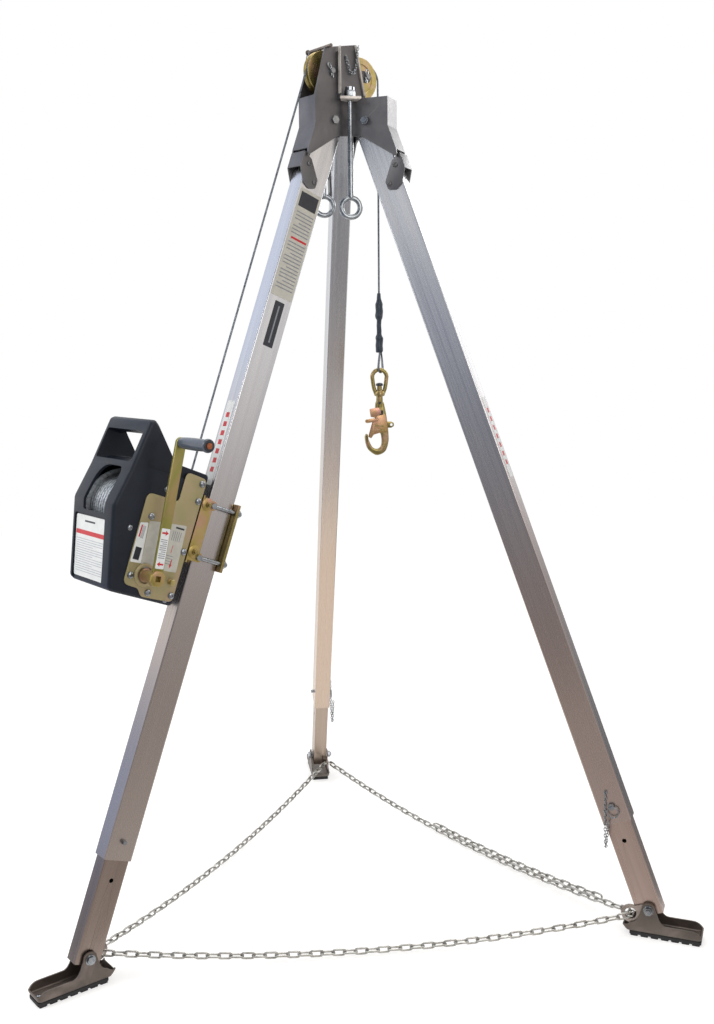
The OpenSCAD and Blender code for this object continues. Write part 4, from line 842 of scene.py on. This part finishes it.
def make_front_label():
    """The label in the front face's recess."""
    sticker("front_label", box(-139, 3, 39, 178), on_face, 7, [
        (RED_INK, [box(-137, 1, 73, 83)]),
        (PALE_INK, lines(-132, -4, 92, 5.2, 15, 1.7, 46)),
        (DARK_INK_AND_SHADE, [box(-96, -46, 50, 54)]),
    ], low=0.1 - FACE_DEEP)


make_shell()
make_front_label()

# Gear side of the winch: cover, screws, crank and grip
COVER_OUT = 45.0
CRANK = np.array(JOINTS["crank_turn"]["pos_m"]) - PIVOT["left"]
CRANK_U, CRANK_S = float(CRANK @ OUT["left"]) / MM, float(CRANK @ DOWN["left"]) / MM
CRANK_LEAN, CRANK_LEN, ARM_NEAR, ARM_T, ARM_W = math.radians(7), 298.0, 95.0, 8.0, 24.0
GRIP_FROM, GRIP_LEN = ARM_NEAR + ARM_T + 0.3, 112.0


def dome(r, h):
    """A domed screw head with a shallow drive in it."""
    return [(r, 0), (r, h * 0.25), (r * 0.86, h * 0.68), (r * 0.55, h * 0.95), (r * 0.38, h),
            (r * 0.34, h * 0.6), (r * 0.05, h * 0.58)]


def make_gear_side():
    """The gear cover with the collar round its shaft, and the screws of cover and shell."""
    outline = fillet([(DRUM_U + 37, DRUM_S - 43), (DRUM_U + 33, CRANK_S + 30), (DRUM_U - 5, CRANK_S + 32),
                      (DRUM_U - 19, CRANK_S + 48), (BACK_U + 6, CRANK_S + 44), (BACK_U + 6, DRUM_S - 109),
                      (DRUM_U - 43, DRUM_S - 112), (DRUM_U - 43, DRUM_S - 43)],
                     [16, 16, 10, 14, 14, 14, 14, 8], 6)
    collar = [(26, 0), (26, 3.2), (24.5, 4.4), (19, 4.8), (18.6, 0.5), (16, 0.4)]
    piece("cover_plate", [plate(outline, SHELL_NEAR, COVER_OUT, at_shell, 1.2, 3),
                          lathe(collar, at_shell(CRANK_U, CRANK_S, COVER_OUT - 0.6), ALONG["left"], 40)],
          COVER_ZINC, "left_leg", ["gear_cover"])
    at = [(DRUM_U + 21, CRANK_S + 8), (DRUM_U - 32, CRANK_S + 36), (BACK_U + 14, CRANK_S + 30),
          (BACK_U + 14, DRUM_S + 62), (BACK_U + 14, DRUM_S - 56), (BACK_U + 16, DRUM_S - 96),
          (DRUM_U + 12, DRUM_S + 6)]
    heads = [lathe(dome(8.0, 4.6), at_shell(u, s, COVER_OUT), ALONG["left"], 20) for u, s in at]
    piece("dome_screws", heads, ZINC, "left_leg", ["cover_screws"])
    side = [(DRUM_U + 53, DRUM_S + 43), (BACK_U + 24, LOW_S - 11), (DRUM_U - 7, DRUM_S - 60)]
    heads = [lathe(dome(6.6, 3.4), at_shell(u, s, SHELL_NEAR - 0.4), ALONG["left"], 20) for u, s in side]
    piece("shell_screws", heads, ZINC, "left_leg")


def on_arm(x, y, h):
    """A point on the crank arm: x across it, y up it from the shaft, h outwards from the cover."""
    c, s = math.cos(CRANK_LEAN), math.sin(CRANK_LEAN)
    return on_leg("left", CRANK_U + x * c + y * s, h, CRANK_S + x * s - y * c)


def make_crank():
    """The crank: a flat arm with a round end, its hub and sleeve, and a turned grip with a flanged end."""
    a = np.linspace(0, math.pi, 17)
    top = np.stack([ARM_W / 2 * np.cos(a), CRANK_LEN + ARM_W / 2 * np.sin(a)], -1)
    outline = np.concatenate([[(-ARM_W / 2, 6), (ARM_W / 2, 6)], top])
    socket = plate(box(-6.35, 6.35, -6.35, 6.35), ARM_NEAR + 1, ARM_NEAR + 20, on_arm, 0.2, 2)
    hub = plate(fillet(polygon(18.4, 8, 22.5), 1.5, 3), ARM_NEAR - 8, ARM_NEAR + ARM_T + 4, on_arm, 1.2)
    sleeve = [(15, COVER_OUT + 2), (15, COVER_OUT + 8), (14.2, COVER_OUT + 9), (14.2, ARM_NEAR - 12),
              (15.6, ARM_NEAR - 11), (15.6, ARM_NEAR - 7)]
    body = cut_out(hub, [socket])
    piece("crank_lever", [plate(outline, ARM_NEAR, ARM_NEAR + ARM_T, on_arm, 1.0)], ARM_ZINC, "crank",
          ["crank_arm"])
    piece("crank_hub", [body, lathe(sleeve, at_shell(CRANK_U, CRANK_S, 0), ALONG["left"], 40)], MOUNT_ZINC,
          "crank", ["crank_arm"])
    grip = [(9.5, 0), (11.6, 1.5), (12.4, 6), (13.3, 30), (13.7, 56), (13.3, 84), (12.6, 100), (12.4, 102),
            (13.9, 103), (14.9, 105), (14.9, 109), (13.6, GRIP_LEN), (6.5, GRIP_LEN)]
    piece("barrel_grip", [lathe(grip, on_arm(0, CRANK_LEN, GRIP_FROM), ALONG["left"], 40)], GRIP_NYLON,
          "grip", ["crank_grip"], sharp=30)
    seat = [(7.0, -0.6), (12.4, -0.6), (12.6, 0.3), (12.0, 0.6), (7.4, 0.6)]
    piece("grip_end_seat", [lathe(seat, on_arm(0, CRANK_LEN, GRIP_FROM + GRIP_LEN), ALONG["left"], 32)],
          DARK_INK_AND_SHADE, "grip")


def make_arm_label():
    """The label at the foot of the crank's arm: arrows and plain bars."""
    sticker("arm_label", box(-10.5, 10.5, 22, 110), on_arm, 2.5, [
        (RED_INK, [arrow(8, 100, -16, 11), arrow(-8, 32, 16, 11)]),
        (GREY_INK, lines(-8, 8, 45, 4.4, 10, 1.7, 5)),
    ], body="crank", low=ARM_NEAR + ARM_T)


def make_cover_labels():
    """The white and silver labels on the gear cover, and the stud at its lower corner."""
    sticker("cover_label_white", [(199, 1043), (180, 1039), (170, 1129), (197, 1131)], at_shell, 2.5, [
        (RED_INK, [box(191, 194.5, 1047, 1074)]),
        (DARK_INK_AND_SHADE, [box(178, 193, 1096, 1124)]),
        (GREY_INK, [box(183 + 2.6 * i, 184.2 + 2.6 * i, 1048, 1076) for i in range(3)]),
    ], low=COVER_OUT)
    sticker("cover_label_silver", [(178, 1034), (84, 1022), (78, 1129), (169, 1137)], at_shell, 4, [
        (GREY_INK, [box(92 + 5 * i, 93.6 + 5 * i, 1040, 1062) for i in range(5)]
         + lines(96, 134, 1096, 6, 4, 1.4)),
        (RED_INK, [arrow(98, 1104, 20, 7, False), box(104, 105.5, 1072, 1090)]),
        (DARK_INK_AND_SHADE, [box(88, 110, 1030, 1034)]),
    ], stock=SILVER_STICKER, low=COVER_OUT - 0.1)
    stud = [(7, 0), (7, 2), (4.4, 2.2), (4.4, 9), (6.6, 9.2), (6.6, 14), (5.6, 15), (3, 15.2)]
    piece("cover_stud", [lathe(stud, at_shell(86, 1152, COVER_OUT - 0.2), ALONG["left"], 22)], PALE_ZINC,
          "left_leg")


make_gear_side()
make_crank()
make_arm_label()
make_cover_labels()

# Feet
SHOE_MID, SHOE_T, SHOE_LOW = 26.35, 3.5, -60.0
HEEL, HEEL_TIP, TOE, TOE_TIP, TOE_LIFT, WALL, EAR_R = 46.0, 13.0, 116.0, 8.0, 9.0, 25.0, 18.0
SOLE_FROM, SOLE_TO, SOLE_HALF, SOLE_PADS = -HEEL + 2, TOE + 8, 25.0, 7


def make_shoe(leg):
    """A pressed shoe: a flat floor with a lip at the toe and a curl at the heel, and walls with ears.

    It is a sheet: along each of its lengths x it runs down one wall, round a bend, over the floor and up.
    """
    lip = np.linspace(0, math.pi / 2, 9)[1:]
    x = np.concatenate([np.linspace(-HEEL - HEEL_TIP, -26, 16), np.linspace(-25, 25, 60),
                        np.linspace(26, TOE, 40), TOE + TOE_TIP * np.sin(lip)])
    curl = 1 - np.sqrt(1 - np.clip((x - TOE) / TOE_TIP, 0, 1) ** 2)
    heel = np.clip((-HEEL - x) / HEEL_TIP, 0, 1)
    floor = SHOE_LOW + SHOE_T / 2 + TOE_LIFT * curl + HEEL_TIP * heel ** 1.5
    ear = np.sqrt(np.clip(EAR_R ** 2 - x ** 2, 0, None))
    drop = np.clip((np.abs(x) - 15) / np.where(x > 0, 30, 26), 0, 1)
    flare = SHOE_LOW + WALL + (8 - SHOE_LOW - WALL) * (1 - drop) ** 2.6
    top = np.where(np.abs(x) < 15, np.maximum(ear, 8), flare)
    curled = np.clip((-x - HEEL + 6) / (HEEL_TIP + 6), 0, 1)
    top = np.where(x < -HEEL + 6, top + (floor + 5 - top) * curled, top)
    end = np.clip((x - TOE - TOE_TIP + 26) / 26, 0, 1)
    top = np.where(x > 60, floor + 2 + (top - floor - 2) * np.sqrt(np.clip(1 - end ** 2.4, 0, 1)), top)
    half = SHOE_MID - 3 * curl
    corner = np.minimum(5.0, 0.8 * (top - floor))
    k = np.linspace(1, 0, 9)
    wall_z = (floor + corner)[:, None] + (top - floor - corner)[:, None] * k
    corner = corner[:, None]
    wall_y = np.repeat(half[:, None], 9, 1)
    a = np.linspace(0, math.pi / 2, 6)[1:-1]
    bend_y = half[:, None] - corner + corner * np.cos(a)
    bend_z = floor[:, None] + corner - corner * np.sin(a)
    flat_y = (half[:, None] - corner) * np.linspace(1, 0, 5)
    flat_z = np.repeat(floor[:, None], 5, 1)
    y = np.concatenate([wall_y, bend_y, flat_y], 1)
    z = np.concatenate([wall_z, bend_z, flat_z], 1)
    y = np.concatenate([y, -y[:, -2::-1]], 1)
    z = np.concatenate([z, z[:, -2::-1]], 1)
    made = piece("shoe_" + leg, [grid(on_foot(leg, np.repeat(x[:, None], y.shape[1], 1), y, z))], SHOE_STEEL,
                 leg + "_foot", ["foot_shoe_" + leg], sharp=50)
    thick = made.modifiers.new("sheet", "SOLIDIFY")
    thick.thickness = SHOE_T * MM
    thick.offset = 0
    bevel(made, 0.7, 2, 50)
    rivet = lathe(dome(5, 2.4), on_foot(leg, TOE - 4, 0, SHOE_LOW + SHOE_T), UP, 18)
    piece("shoe_rivet_" + leg, [rivet], ZINC, leg + "_foot")
    washer = [(12, 0), (12, 2), (11.4, 2.5), (6, 2.5)]
    washers = [lathe(washer, on_foot(leg, 0, w * (SHOE_MID + 1.6), 0), w * ALONG[leg], 28) for w in (1, -1)]
    piece("foot_washers_" + leg, washers, ZINC, leg + "_foot")


def make_sole(leg):
    """A rubber sole: a thick sheet under the shoe with a row of rounded pads."""
    def flat(x, y, h):
        """A point on the sole: x away from the axis, y across it, h up."""
        return on_foot(leg, x, y, h)

    def strip(start, end, corner):
        """A rounded outline as wide as the sole, from one place along it to another."""
        return fillet(box(start, end, -SOLE_HALF, SOLE_HALF), corner)

    sheet = plate(strip(SOLE_FROM, SOLE_TO, 4), SHOE_LOW - 8, SHOE_LOW + 0.2, flat, 0.8)
    span = (SOLE_TO - SOLE_FROM) / SOLE_PADS
    pads = [plate(strip(SOLE_FROM + span * (i + 0.1), SOLE_FROM + span * (i + 0.86), 3),
                  SHOE_LOW - 11.9, SHOE_LOW - 7, flat, 1.2) for i in range(SOLE_PADS)]
    piece("sole_" + leg, [sheet] + pads, RUBBER, leg + "_foot", ["foot_sole_" + leg])


for foot_leg in LEGS:
    make_shoe(foot_leg)
    make_sole(foot_leg)


# CAD nodes that keep their shape
def legs(name):
    """A node's names on all three legs."""
    return [name + "_" + leg for leg in LEGS]


for dressed in LEGS:
    dress(["upper_leg_" + dressed], ALUMINIUM[dressed], 0.5)
    dress(["lower_leg_" + dressed], INNER_TUBE[dressed], 0.5)
dress(["head_frame"], HEAD_STEEL, 1.2)
dress(["pivot_bolts", "pivot_nuts", "sheave_axles", "sheave_spacers"], ZINC, 0.7)
dress(["keeper_pin"], SHOE_STEEL, 0.7)
dress(legs("leg_pin") + legs("foot_bolt"), ZINC, 0.7)
dress(legs("chain_ear"), PLATE_STEEL, 0.8)
dress(["sheave_left"], YELLOW_ZINC, 0.8)
dress(["sheave_right"], PALE_ZINC, 0.8)
dress(["winch_drum"], CAST_PAINTED_LIGHT, 0.8)
dress(["drum_gear", "crank_pinion"], CUT_STEEL)
dress(["grip_bolt"], COPPER, 0.8)
dress(["mount_bracket"], MOUNT_ZINC, 1.0)
dress(["clamp_rods"], ZINC, 0.6)
dress(["clamp_bar"], YELLOW_ZINC, 1.2)


# Labels on the legs
UPPER_DEPTH, UPPER_WIDTH = 70.0, 48.0


def make_leg_labels():
    """The plates on the left leg's side, and a strip of red squares on the outer faces of two legs."""
    def on_side(u, s, h):
        """A point on the left leg's side: u outwards, s down the leg, h off its face."""
        return on_leg("left", u, UPPER_WIDTH / 2 + h, s)

    sticker("leg_side_label", box(-31, 30, 182, 446), on_side, 4, [
        (DARK_INK_AND_SHADE, [box(-26, 26, 190, 226)]),
        (RED_INK, [box(-26, 20, 300, 305)]),
        (GREY_INK, lines(-26, 24, 238, 8.5, 7, 2.6, 14) + lines(-26, 24, 312, 8.5, 14, 2.6, 14)),
    ], stock=SILVER_STICKER)
    sticker("leg_dark_strip", box(-15, 12, 456, 566), on_side, 2, [
        (GREY_INK, [box(-4, 0, 466, 556)]),
    ], stock=DARK_INK_AND_SHADE)
    for leg in ("left", "right"):
        sticker("leg_strip_" + leg, box(-15, 15, 712, 915),
                lambda v, s, h: on_leg(leg, UPPER_DEPTH / 2 + h, v, s), 3, [
                    (RED_INK, [box(-7, 7, 740 + 22 * i, 752 + 22 * i) for i in range(7)]),
                ], body=leg + "_leg")


make_leg_labels()


# Trim: wire pieces and small hardware
def wire(name, path, r, body, side, loop=False):
    """A bent zinc wire of radius r along a path."""
    piece(name, [sweep(path, ring(r, 8), side, loop)], ZINC, body)


def make_hairpin(name, centre, across, up, body):
    """A hairpin cotter through an axle's end: a straight leg, a round eye and a waved leg."""
    flat = np.array([(0, -15), (0, 10), (1.5, 15), (5, 17), (8, 14), (7, 9), (3.6, 4), (5.2, -2), (3.4, -7),
                     (6, -12)])
    path = centre + MM * (flat[:, :1] * across + flat[:, 1:] * up)
    wire(name, smooth(path, 60), 1.3, body, np.cross(across, up))


def make_small_chain(name, points, body, pitch=7.4, r=1.05):
    """A fine chain: small oval links along a curve, each turned a quarter from the one before."""
    path, _ = even(smooth(points, 120), pitch * MM)
    x = np.linspace(0, 2 * math.pi, 10, endpoint=False)
    oval = MM * np.stack([4.9 * np.cos(x), 2.9 * np.sin(x), 0 * x], -1)
    shape = links_at(sweep(oval, ring(r, 5), UP, loop=True), path, np.gradient(path, axis=0),
                     [-0.3, -0.9, -0.31], np.arange(len(path)) % 2 == 1)
    piece(name, [shape], ZINC, body, sharp=70)


def on_plate(r, z, v):
    """A point on the head's sheave plates: r outwards, z up, v to their side."""
    return on_head("left", r, v, z)


def make_head_trim():
    """The head's small things: axle cotters, an edge strip and a rib face lighter with painted light, a dark
    disc of painted shade for a bore, a fine chain and the keeper's ring.
    """
    t, r = ALONG["left"], RADIAL["left"]
    for side, at, lean in (("left", SHEAVE_OUT, 0.3), ("right", -SHEAVE_IN, -0.2)):
        make_hairpin("axle_hairpin_" + side, on_plate(at, SHEAVE_Z, 36.5), r, unit(UP + lean * r), "head")
    top = SHEAVE_Z + 69
    # Edge strip and rib face in the lighter head steel: painted light
    edge = np.array([(0, top - 2), (-4.5, top - 2), (-31, 2014), (-25, 2014)])
    piece("plate_edge", [plate(edge, 32.6, 38, on_plate, 0.5)], HEAD_STEEL_LIT, "head")
    rib = fillet(box(39, 49, 2010, top - 12), 1.5)
    piece("rib_face", [plate(rib, 52.6, 53.8, lambda v, z, out: on_plate(out, z, v), 0.3, 2)], HEAD_STEEL_LIT,
          "head")
    # Painted shade: a dark disc on the plate for a bore
    bore = lathe([(4.6, 0), (4.6, 0.5), (1, 0.55)], on_plate(27, SHEAVE_Z + 36, 33), t, 20)
    piece("plate_bore_shade", [bore], DARK_INK_AND_SHADE, "head")
    hang = [(27, 34, 36), (23, 37, 24), (15, 38, 2), (4, 38, 6), (-3, 38, 30), (-4, 40, 54), (-7, 40, 64)]
    path = [on_plate(out, SHEAVE_Z + z, v) for out, v, z in hang]
    make_small_chain("keeper_chain", path, "head", 5.6, 0.85)
    out, z, v = 78.0, SHEAVE_Z + 54.4, -46.0
    a = np.linspace(0, 2 * math.pi, 24, endpoint=False)
    loop = on_plate(out + 3 * np.sin(a), z - 11 + 11 * np.cos(a), v - 3 + 2 * np.cos(a))
    wire("keeper_ring", loop, 1.2, "head", t, loop=True)


def make_lock_plates(leg):
    """The hook bracket under the head: two riveted side plates joined by an outer web."""
    side = fillet([(51, 101), (26, 111), (-7, 151), (-6, 171), (13, 179), (31, 171), (51, 139)],
                  [1, 6, 9, 7, 8, 8, 5], 5)
    web = fillet(box(-26.5, 26.5, 101, 139), 2)
    face = UPPER_WIDTH / 2
    shapes = [plate(side, *sorted((w * face, w * (face + 3))), lambda u, s, h: on_leg(leg, u, h, s), 0.7)
              for w in (1, -1)]
    shapes.append(plate(web, 48, 51, lambda v, s, h: on_leg(leg, h, v, s), 0.7))
    rivets = [lathe(dome(6.0, 3.2), on_leg(leg, u, w * (face + 3), s), w * ALONG[leg], 18)
              for w in (1, -1) for u, s in ((30, 124), (1, 159))]
    piece("lock_plates_" + leg, shapes, HEAD_STEEL, leg + "_leg", ["lock_bracket_" + leg])
    piece("lock_rivets_" + leg, rivets, HEAD_STEEL, leg + "_leg")


EYE_R, EYE_Z, EYE_RING = 61.0, 1748.0, 22.7
SHELF_Z = min(c[2] for c in NODES["eye_nuts"].bound_box) / MM
PIN_S = 1742.0


def make_eye_bolts():
    """Two anchor eyes: a stepped shank under its shelf, a ring that faces the front, a castle nut on top."""
    rings, nuts, shelves = [], [], []
    a = np.linspace(0, 2 * math.pi, 48, endpoint=False)
    hexagon = fillet(polygon(13.4, 6, 30), 1.2, 3)
    tab = fillet([(-38, -14), (14, -25), (17, -25), (17, 25), (14, 25), (-38, 14)], 1.5, 3)
    for azimuth, lift in ((270, 0.0), (150, 14.0)):
        eye_z = EYE_Z + lift
        level = np.array([math.cos(math.radians(azimuth)), math.sin(math.radians(azimuth)), 0.0])
        foot = AXIS + EYE_R * MM * level

        def on_shelf(x, y, h):
            """A point about the eye bolt: x outwards, y sideways, h above the floor."""
            return spread(foot, (x, y, h), (level, np.cross(UP, level), UP))

        loop = foot + MM * np.stack([EYE_RING * np.cos(a), 0 * a, eye_z + EYE_RING * np.sin(a)], -1)
        rings.append(sweep(loop, ring(6.35, 14), [0, -1, 0], loop=True))
        low, step, high = eye_z + EYE_RING, SHELF_Z - 103, SHELF_Z + 20
        shank = [(3, low - 2), (9, low), (7.4, low + 8), (7.0, low + 14), (7.0, step), (5.7, step + 3),
                 (5.7, high), (4, high + 1)]
        rings.append(lathe(shank, foot, UP, 24))
        nuts.append(plate(hexagon, SHELF_Z, SHELF_Z + 15, on_shelf, 0.9))
        for b in np.radians(60 * np.arange(6)):
            turn = np.array([[math.cos(b), math.sin(b)], [-math.sin(b), math.cos(b)]])
            tooth = box(6.0, 10.6, -3.2, 3.2) @ turn
            nuts.append(plate(tooth, SHELF_Z + 14, SHELF_Z + 23, on_shelf, 0.6, 2))
        shelves.append(plate(tab, SHELF_Z - 6.5, SHELF_Z - 0.1, on_shelf, 0.7))
    piece("anchor_eyes", rings, ZINC, "head", ["eye_bolts"])
    piece("castle_nuts", nuts, ZINC, "head", ["eye_nuts"])
    # The shelves take the lighter head steel: painted light
    piece("eye_shelves", shelves, HEAD_STEEL_LIT, "head")


def make_mount_bolts():
    """Two gold bolts through round lobes on the near side of the winch's mount."""
    points = [np.array(p.co) - PIVOT["left"] for p in NODES["mount_bracket"].data.vertices]
    near = max(p @ ALONG["left"] for p in points if abs(p @ OUT["left"] / MM - 44) < 12) / MM
    bolts, lobes = [], []
    hexagon = fillet(polygon(7.2, 6, 10), 0.8, 2)
    for u, s in ((44, 962), (45, 1073)):
        at = on_leg("left", u, near, s)
        lobes.append(lathe([(15, -4), (15, 1.2), (13.8, 2), (1, 2)], at, ALONG["left"], 32))
        bolts.append(plate(hexagon + [u, s], near + 2, near + 7, at_shell, 0.6, 2))
        bolts.append(lathe([(4.2, 0), (4.2, 11), (3.4, 12), (0.6, 12)], at, ALONG["left"], 18))
    piece("mount_lobes", lobes, MOUNT_ZINC, "left_leg")
    piece("mount_bolts", bolts, YELLOW_ZINC, "left_leg")


def make_pin_trim(leg):
    """The pull pin's lanyard: a fine chain from a rivet above the pin, down and back to the pin's ring."""
    rivet = on_leg(leg, -2, -UPPER_WIDTH / 2, PIN_S - 36)
    pin = on_leg(leg, 0, -UPPER_WIDTH / 2, PIN_S)
    start = rivet - 4 * MM * ALONG[leg]
    end = pin - 14 * MM * ALONG[leg] - 36 * MM * UP - 6 * MM * OUT[leg]
    low = (start + end) / 2 * [1, 1, 0] + (pin[2] - 100 * MM) * UP
    path = [start, start * 0.93 + end * 0.07 - 60 * MM * UP, low,
            end * 0.9 + start * 0.1 - 34 * MM * UP, end]
    make_small_chain("pin_lanyard_" + leg, path, leg + "_leg")
    piece("lanyard_rivet_" + leg, [lathe(dome(4.6, 2.6), rivet, -ALONG[leg], 18)], ZINC, leg + "_leg")


make_head_trim()
make_eye_bolts()
make_mount_bolts()
for pin_leg in LEGS:
    make_pin_trim(pin_leg)
    make_lock_plates(pin_leg)


# Stage: white surround, floor, lights and the cards that the metal mirrors
FLOOR_HALF, FLOOR_Z, CARD_Z = 6.0, -0.0006, 0.0004


def make_world():
    """A white surround, less bright for the light it sheds than for the eye and for mirrors."""
    world = bpy.data.worlds.new("surround")
    world.use_nodes = True
    tree = world.node_tree
    rays = add(tree, "ShaderNodeLightPath").outputs
    seen = rays["Is Camera Ray"]
    for kind in ("Is Glossy Ray", "Is Transmission Ray"):
        seen = add(tree, "ShaderNodeMath", {0: seen, 1: rays[kind]}, operation="MAXIMUM").outputs[0]
    power = add(tree, "ShaderNodeMapRange", {"Value": seen, "To Min": 0.45, "To Max": 1.0})
    back = tree.nodes["Background"]
    back.inputs["Color"].default_value = (1, 1, 1, 1)
    tree.links.new(power.outputs[0], back.inputs["Strength"])
    bpy.context.scene.world = world
    bpy.context.scene.view_settings.view_transform = "Standard"


def bare_material(name):
    """A material without a surface, and its tree."""
    material = bpy.data.materials.new(name)
    material.use_nodes = True
    tree = material.node_tree
    tree.nodes.remove(tree.nodes["Principled BSDF"])
    return material, tree


def stage_sheet(name, corners, material, surface):
    """A flat part of the stage on four corners, with a material that shows the given surface."""
    tree = material.node_tree
    tree.links.new(surface.outputs[0], tree.nodes["Material Output"].inputs["Surface"])
    mesh = bpy.data.meshes.new(name)
    mesh.from_pydata([c.tolist() for c in corners], [], [(0, 1, 2, 3)])
    mesh.materials.append(material)
    made = bpy.data.objects.new(name, mesh)
    bpy.context.scene.collection.objects.link(made)
    return made


def lying(x, y, z):
    """Corners of a level sheet, from its reaches along x and y about the axis."""
    return [AXIS + np.array([*corner, z]) for corner in box(*x, *y)]


def upright(direction, distance, across, height):
    """Corners of a card that stands square to a level direction from the axis, across its sideways reach."""
    back = unit(np.array([*direction, 0.0]))
    side = np.cross(UP, back)
    return [AXIS + distance * back + w * side + h * UP for w, h in box(*across, 0, height)]


def make_floor():
    """A matt white floor with a glow that grows away from the object, so that it meets the surround."""
    material, tree = bare_material("white_floor")
    place = add(tree, "ShaderNodeTexCoord").outputs["Object"]
    away = add(tree, "ShaderNodeVectorMath", {0: place, 1: tuple(AXIS.tolist())}, operation="DISTANCE")
    power = add(tree, "ShaderNodeMapRange", {"Value": away.outputs["Value"], "From Min": 1.5,
                                             "From Max": 5.0, "To Min": 0.62, "To Max": 0.78})
    matt = add(tree, "ShaderNodeBsdfDiffuse", {"Color": (0.6, 0.597, 0.594, 1)})
    glow = add(tree, "ShaderNodeEmission", {"Color": (1.0, 0.99, 0.98, 1), "Strength": power.outputs[0]})
    both = add(tree, "ShaderNodeAddShader", {0: matt.outputs[0], 1: glow.outputs[0]})
    reach = (-FLOOR_HALF, FLOOR_HALF)
    stage_sheet("floor", lying(reach, reach, FLOOR_Z), material, both)


def make_light(name, place, aim, size, watts, colour):
    """A softbox at a place about the axis, turned towards its aim."""
    data = bpy.data.lights.new(name, "AREA")
    data.shape = "RECTANGLE"
    data.size, data.size_y = size
    data.energy = watts
    data.color = colour
    made = bpy.data.objects.new(name, data)
    back = unit(np.array(place) - np.array(aim))
    right = unit(np.cross(UP, back))
    made.matrix_world = standing(right, np.cross(back, right), back, AXIS + np.array(place))
    made.visible_camera = False
    bpy.context.scene.collection.objects.link(made)


def make_card(name, corners, axis, stops):
    """A card that only mirrors see, lit by stops of place along an axis, in metres, and colour."""
    material, tree = bare_material(name)
    place = add(tree, "ShaderNodeTexCoord").outputs["Object"]
    first, last = stops[0][0], stops[-1][0]
    along = add(tree, "ShaderNodeSeparateXYZ", {"Vector": place}).outputs[axis]
    share = add(tree, "ShaderNodeMapRange", {"Value": along, "From Min": first, "From Max": last})
    ramp = add(tree, "ShaderNodeValToRGB", {"Fac": share.outputs[0]})
    for at, _ in stops[1:-1]:
        ramp.color_ramp.elements.new((at - first) / (last - first))
    for element, (_, colour) in zip(ramp.color_ramp.elements, stops):
        element.color = (*colour, 1)
    glow = add(tree, "ShaderNodeEmission", {"Color": ramp.outputs[0]})
    card = stage_sheet(name, corners, material, glow)
    card.visible_camera = False
    card.visible_diffuse = False
    card.visible_shadow = False
    card.visible_transmission = False


make_world()
make_floor()
make_light("key_softbox", (-3.3, -0.9, 3.3), (0, 0, 1.0), (2.2, 2.2), 75, (0.97, 0.99, 1.0))
make_light("fill_softbox", (1.1, -3.7, 2.7), (0, 0, 1.0), (1.8, 2.0), 30, (1.0, 0.98, 0.95))
make_light("top_softbox", (0.2, 0.4, 3.9), (0, 0, 1.0), (2.4, 2.4), 40, (1.0, 1.0, 1.0))
make_card("card_front_left", upright((-0.70, -0.71), 1.5, (-0.8, 1.15), 3.4), "Z", [
    (0.0, (0.46, 0.40, 0.38)), (0.32, (0.36, 0.35, 0.36)), (0.93, (0.28, 0.31, 0.36)),
    (1.25, (0.29, 0.31, 0.37)), (1.52, (0.38, 0.40, 0.48)), (1.80, (0.54, 0.55, 0.60)),
    (1.95, (1.0, 1.0, 1.0)), (2.05, (1.0, 1.0, 1.0)), (2.12, (0.16, 0.19, 0.26)), (3.4, (0.14, 0.17, 0.24))])
make_card("card_front_right", upright((0.85, -0.5), 1.5, (-0.75, 0.7), 2.8), "Z", [
    (0.0, (0.50, 0.46, 0.44)), (0.34, (0.62, 0.60, 0.60)), (0.91, (0.76, 0.75, 0.76)),
    (1.37, (0.96, 0.92, 0.91)), (1.9, (1.0, 0.96, 0.92)), (2.05, (1.0, 0.92, 0.84)),
    (2.8, (1.0, 0.92, 0.84))])
make_card("card_left_back", upright((-0.87, 0.48), 1.7, (-0.8, 1.2), 3.9), "Z", [
    (0.0, (0.38, 0.42, 0.52)), (0.33, (0.56, 0.66, 0.95)), (0.54, (0.52, 0.62, 0.88)),
    (0.75, (0.78, 0.82, 0.95)), (0.95, (1.3, 1.3, 1.3)), (1.6, (1.0, 1.02, 1.05)),
    (2.0, (0.90, 0.97, 1.15)), (3.1, (0.90, 0.97, 1.15)), (3.3, (0.22, 0.28, 0.38)),
    (3.9, (0.22, 0.28, 0.38))])
make_card("card_right_back", upright((0.73, 0.67), 1.7, (-1.2, 0.8), 3.6), "Z", [
    (0.0, (0.15, 0.17, 0.20)), (0.36, (0.25, 0.28, 0.31)), (0.79, (0.44, 0.45, 0.47)),
    (1.23, (0.82, 0.81, 0.82)), (1.5, (1.6, 1.6, 1.6)), (1.95, (1.4, 1.4, 1.4)), (2.1, (5.0, 5.0, 5.0)),
    (2.45, (5.0, 5.0, 5.0)), (2.6, (1.2, 1.2, 1.2)), (3.15, (1.0, 1.0, 1.0)), (3.3, (4.5, 4.5, 4.5))])
make_card("card_front_low", upright((0.0, -1.0), 1.5, (-0.25, 1.0), 1.1), "Z", [
    (0.0, (0.42, 0.37, 0.35)), (0.3, (0.32, 0.31, 0.32)), (0.9, (0.33, 0.33, 0.34)),
    (1.1, (0.6, 0.6, 0.62))])
make_card("card_floor_right", lying((0.92, 2.6), (-0.35, 1.3), CARD_Z), "X", [
    (0.92, (0.24, 0.25, 0.26)), (2.6, (0.16, 0.17, 0.19))])
make_card("card_floor_left", lying((-3.0, -0.95), (-0.35, 1.0), CARD_Z), "X", [
    (-3.0, (0.40, 0.44, 0.54)), (-0.95, (0.44, 0.47, 0.54))])
make_card("card_floor_front", lying((-1.6, 1.6), (-1.5, -0.5), CARD_Z), "Y", [
    (float(AXIS[1]) - 1.5, (0.44, 0.40, 0.38)), (float(AXIS[1]) - 1.05, (0.58, 0.54, 0.52)),
    (float(AXIS[1]) - 0.5, (0.74, 0.70, 0.68))])
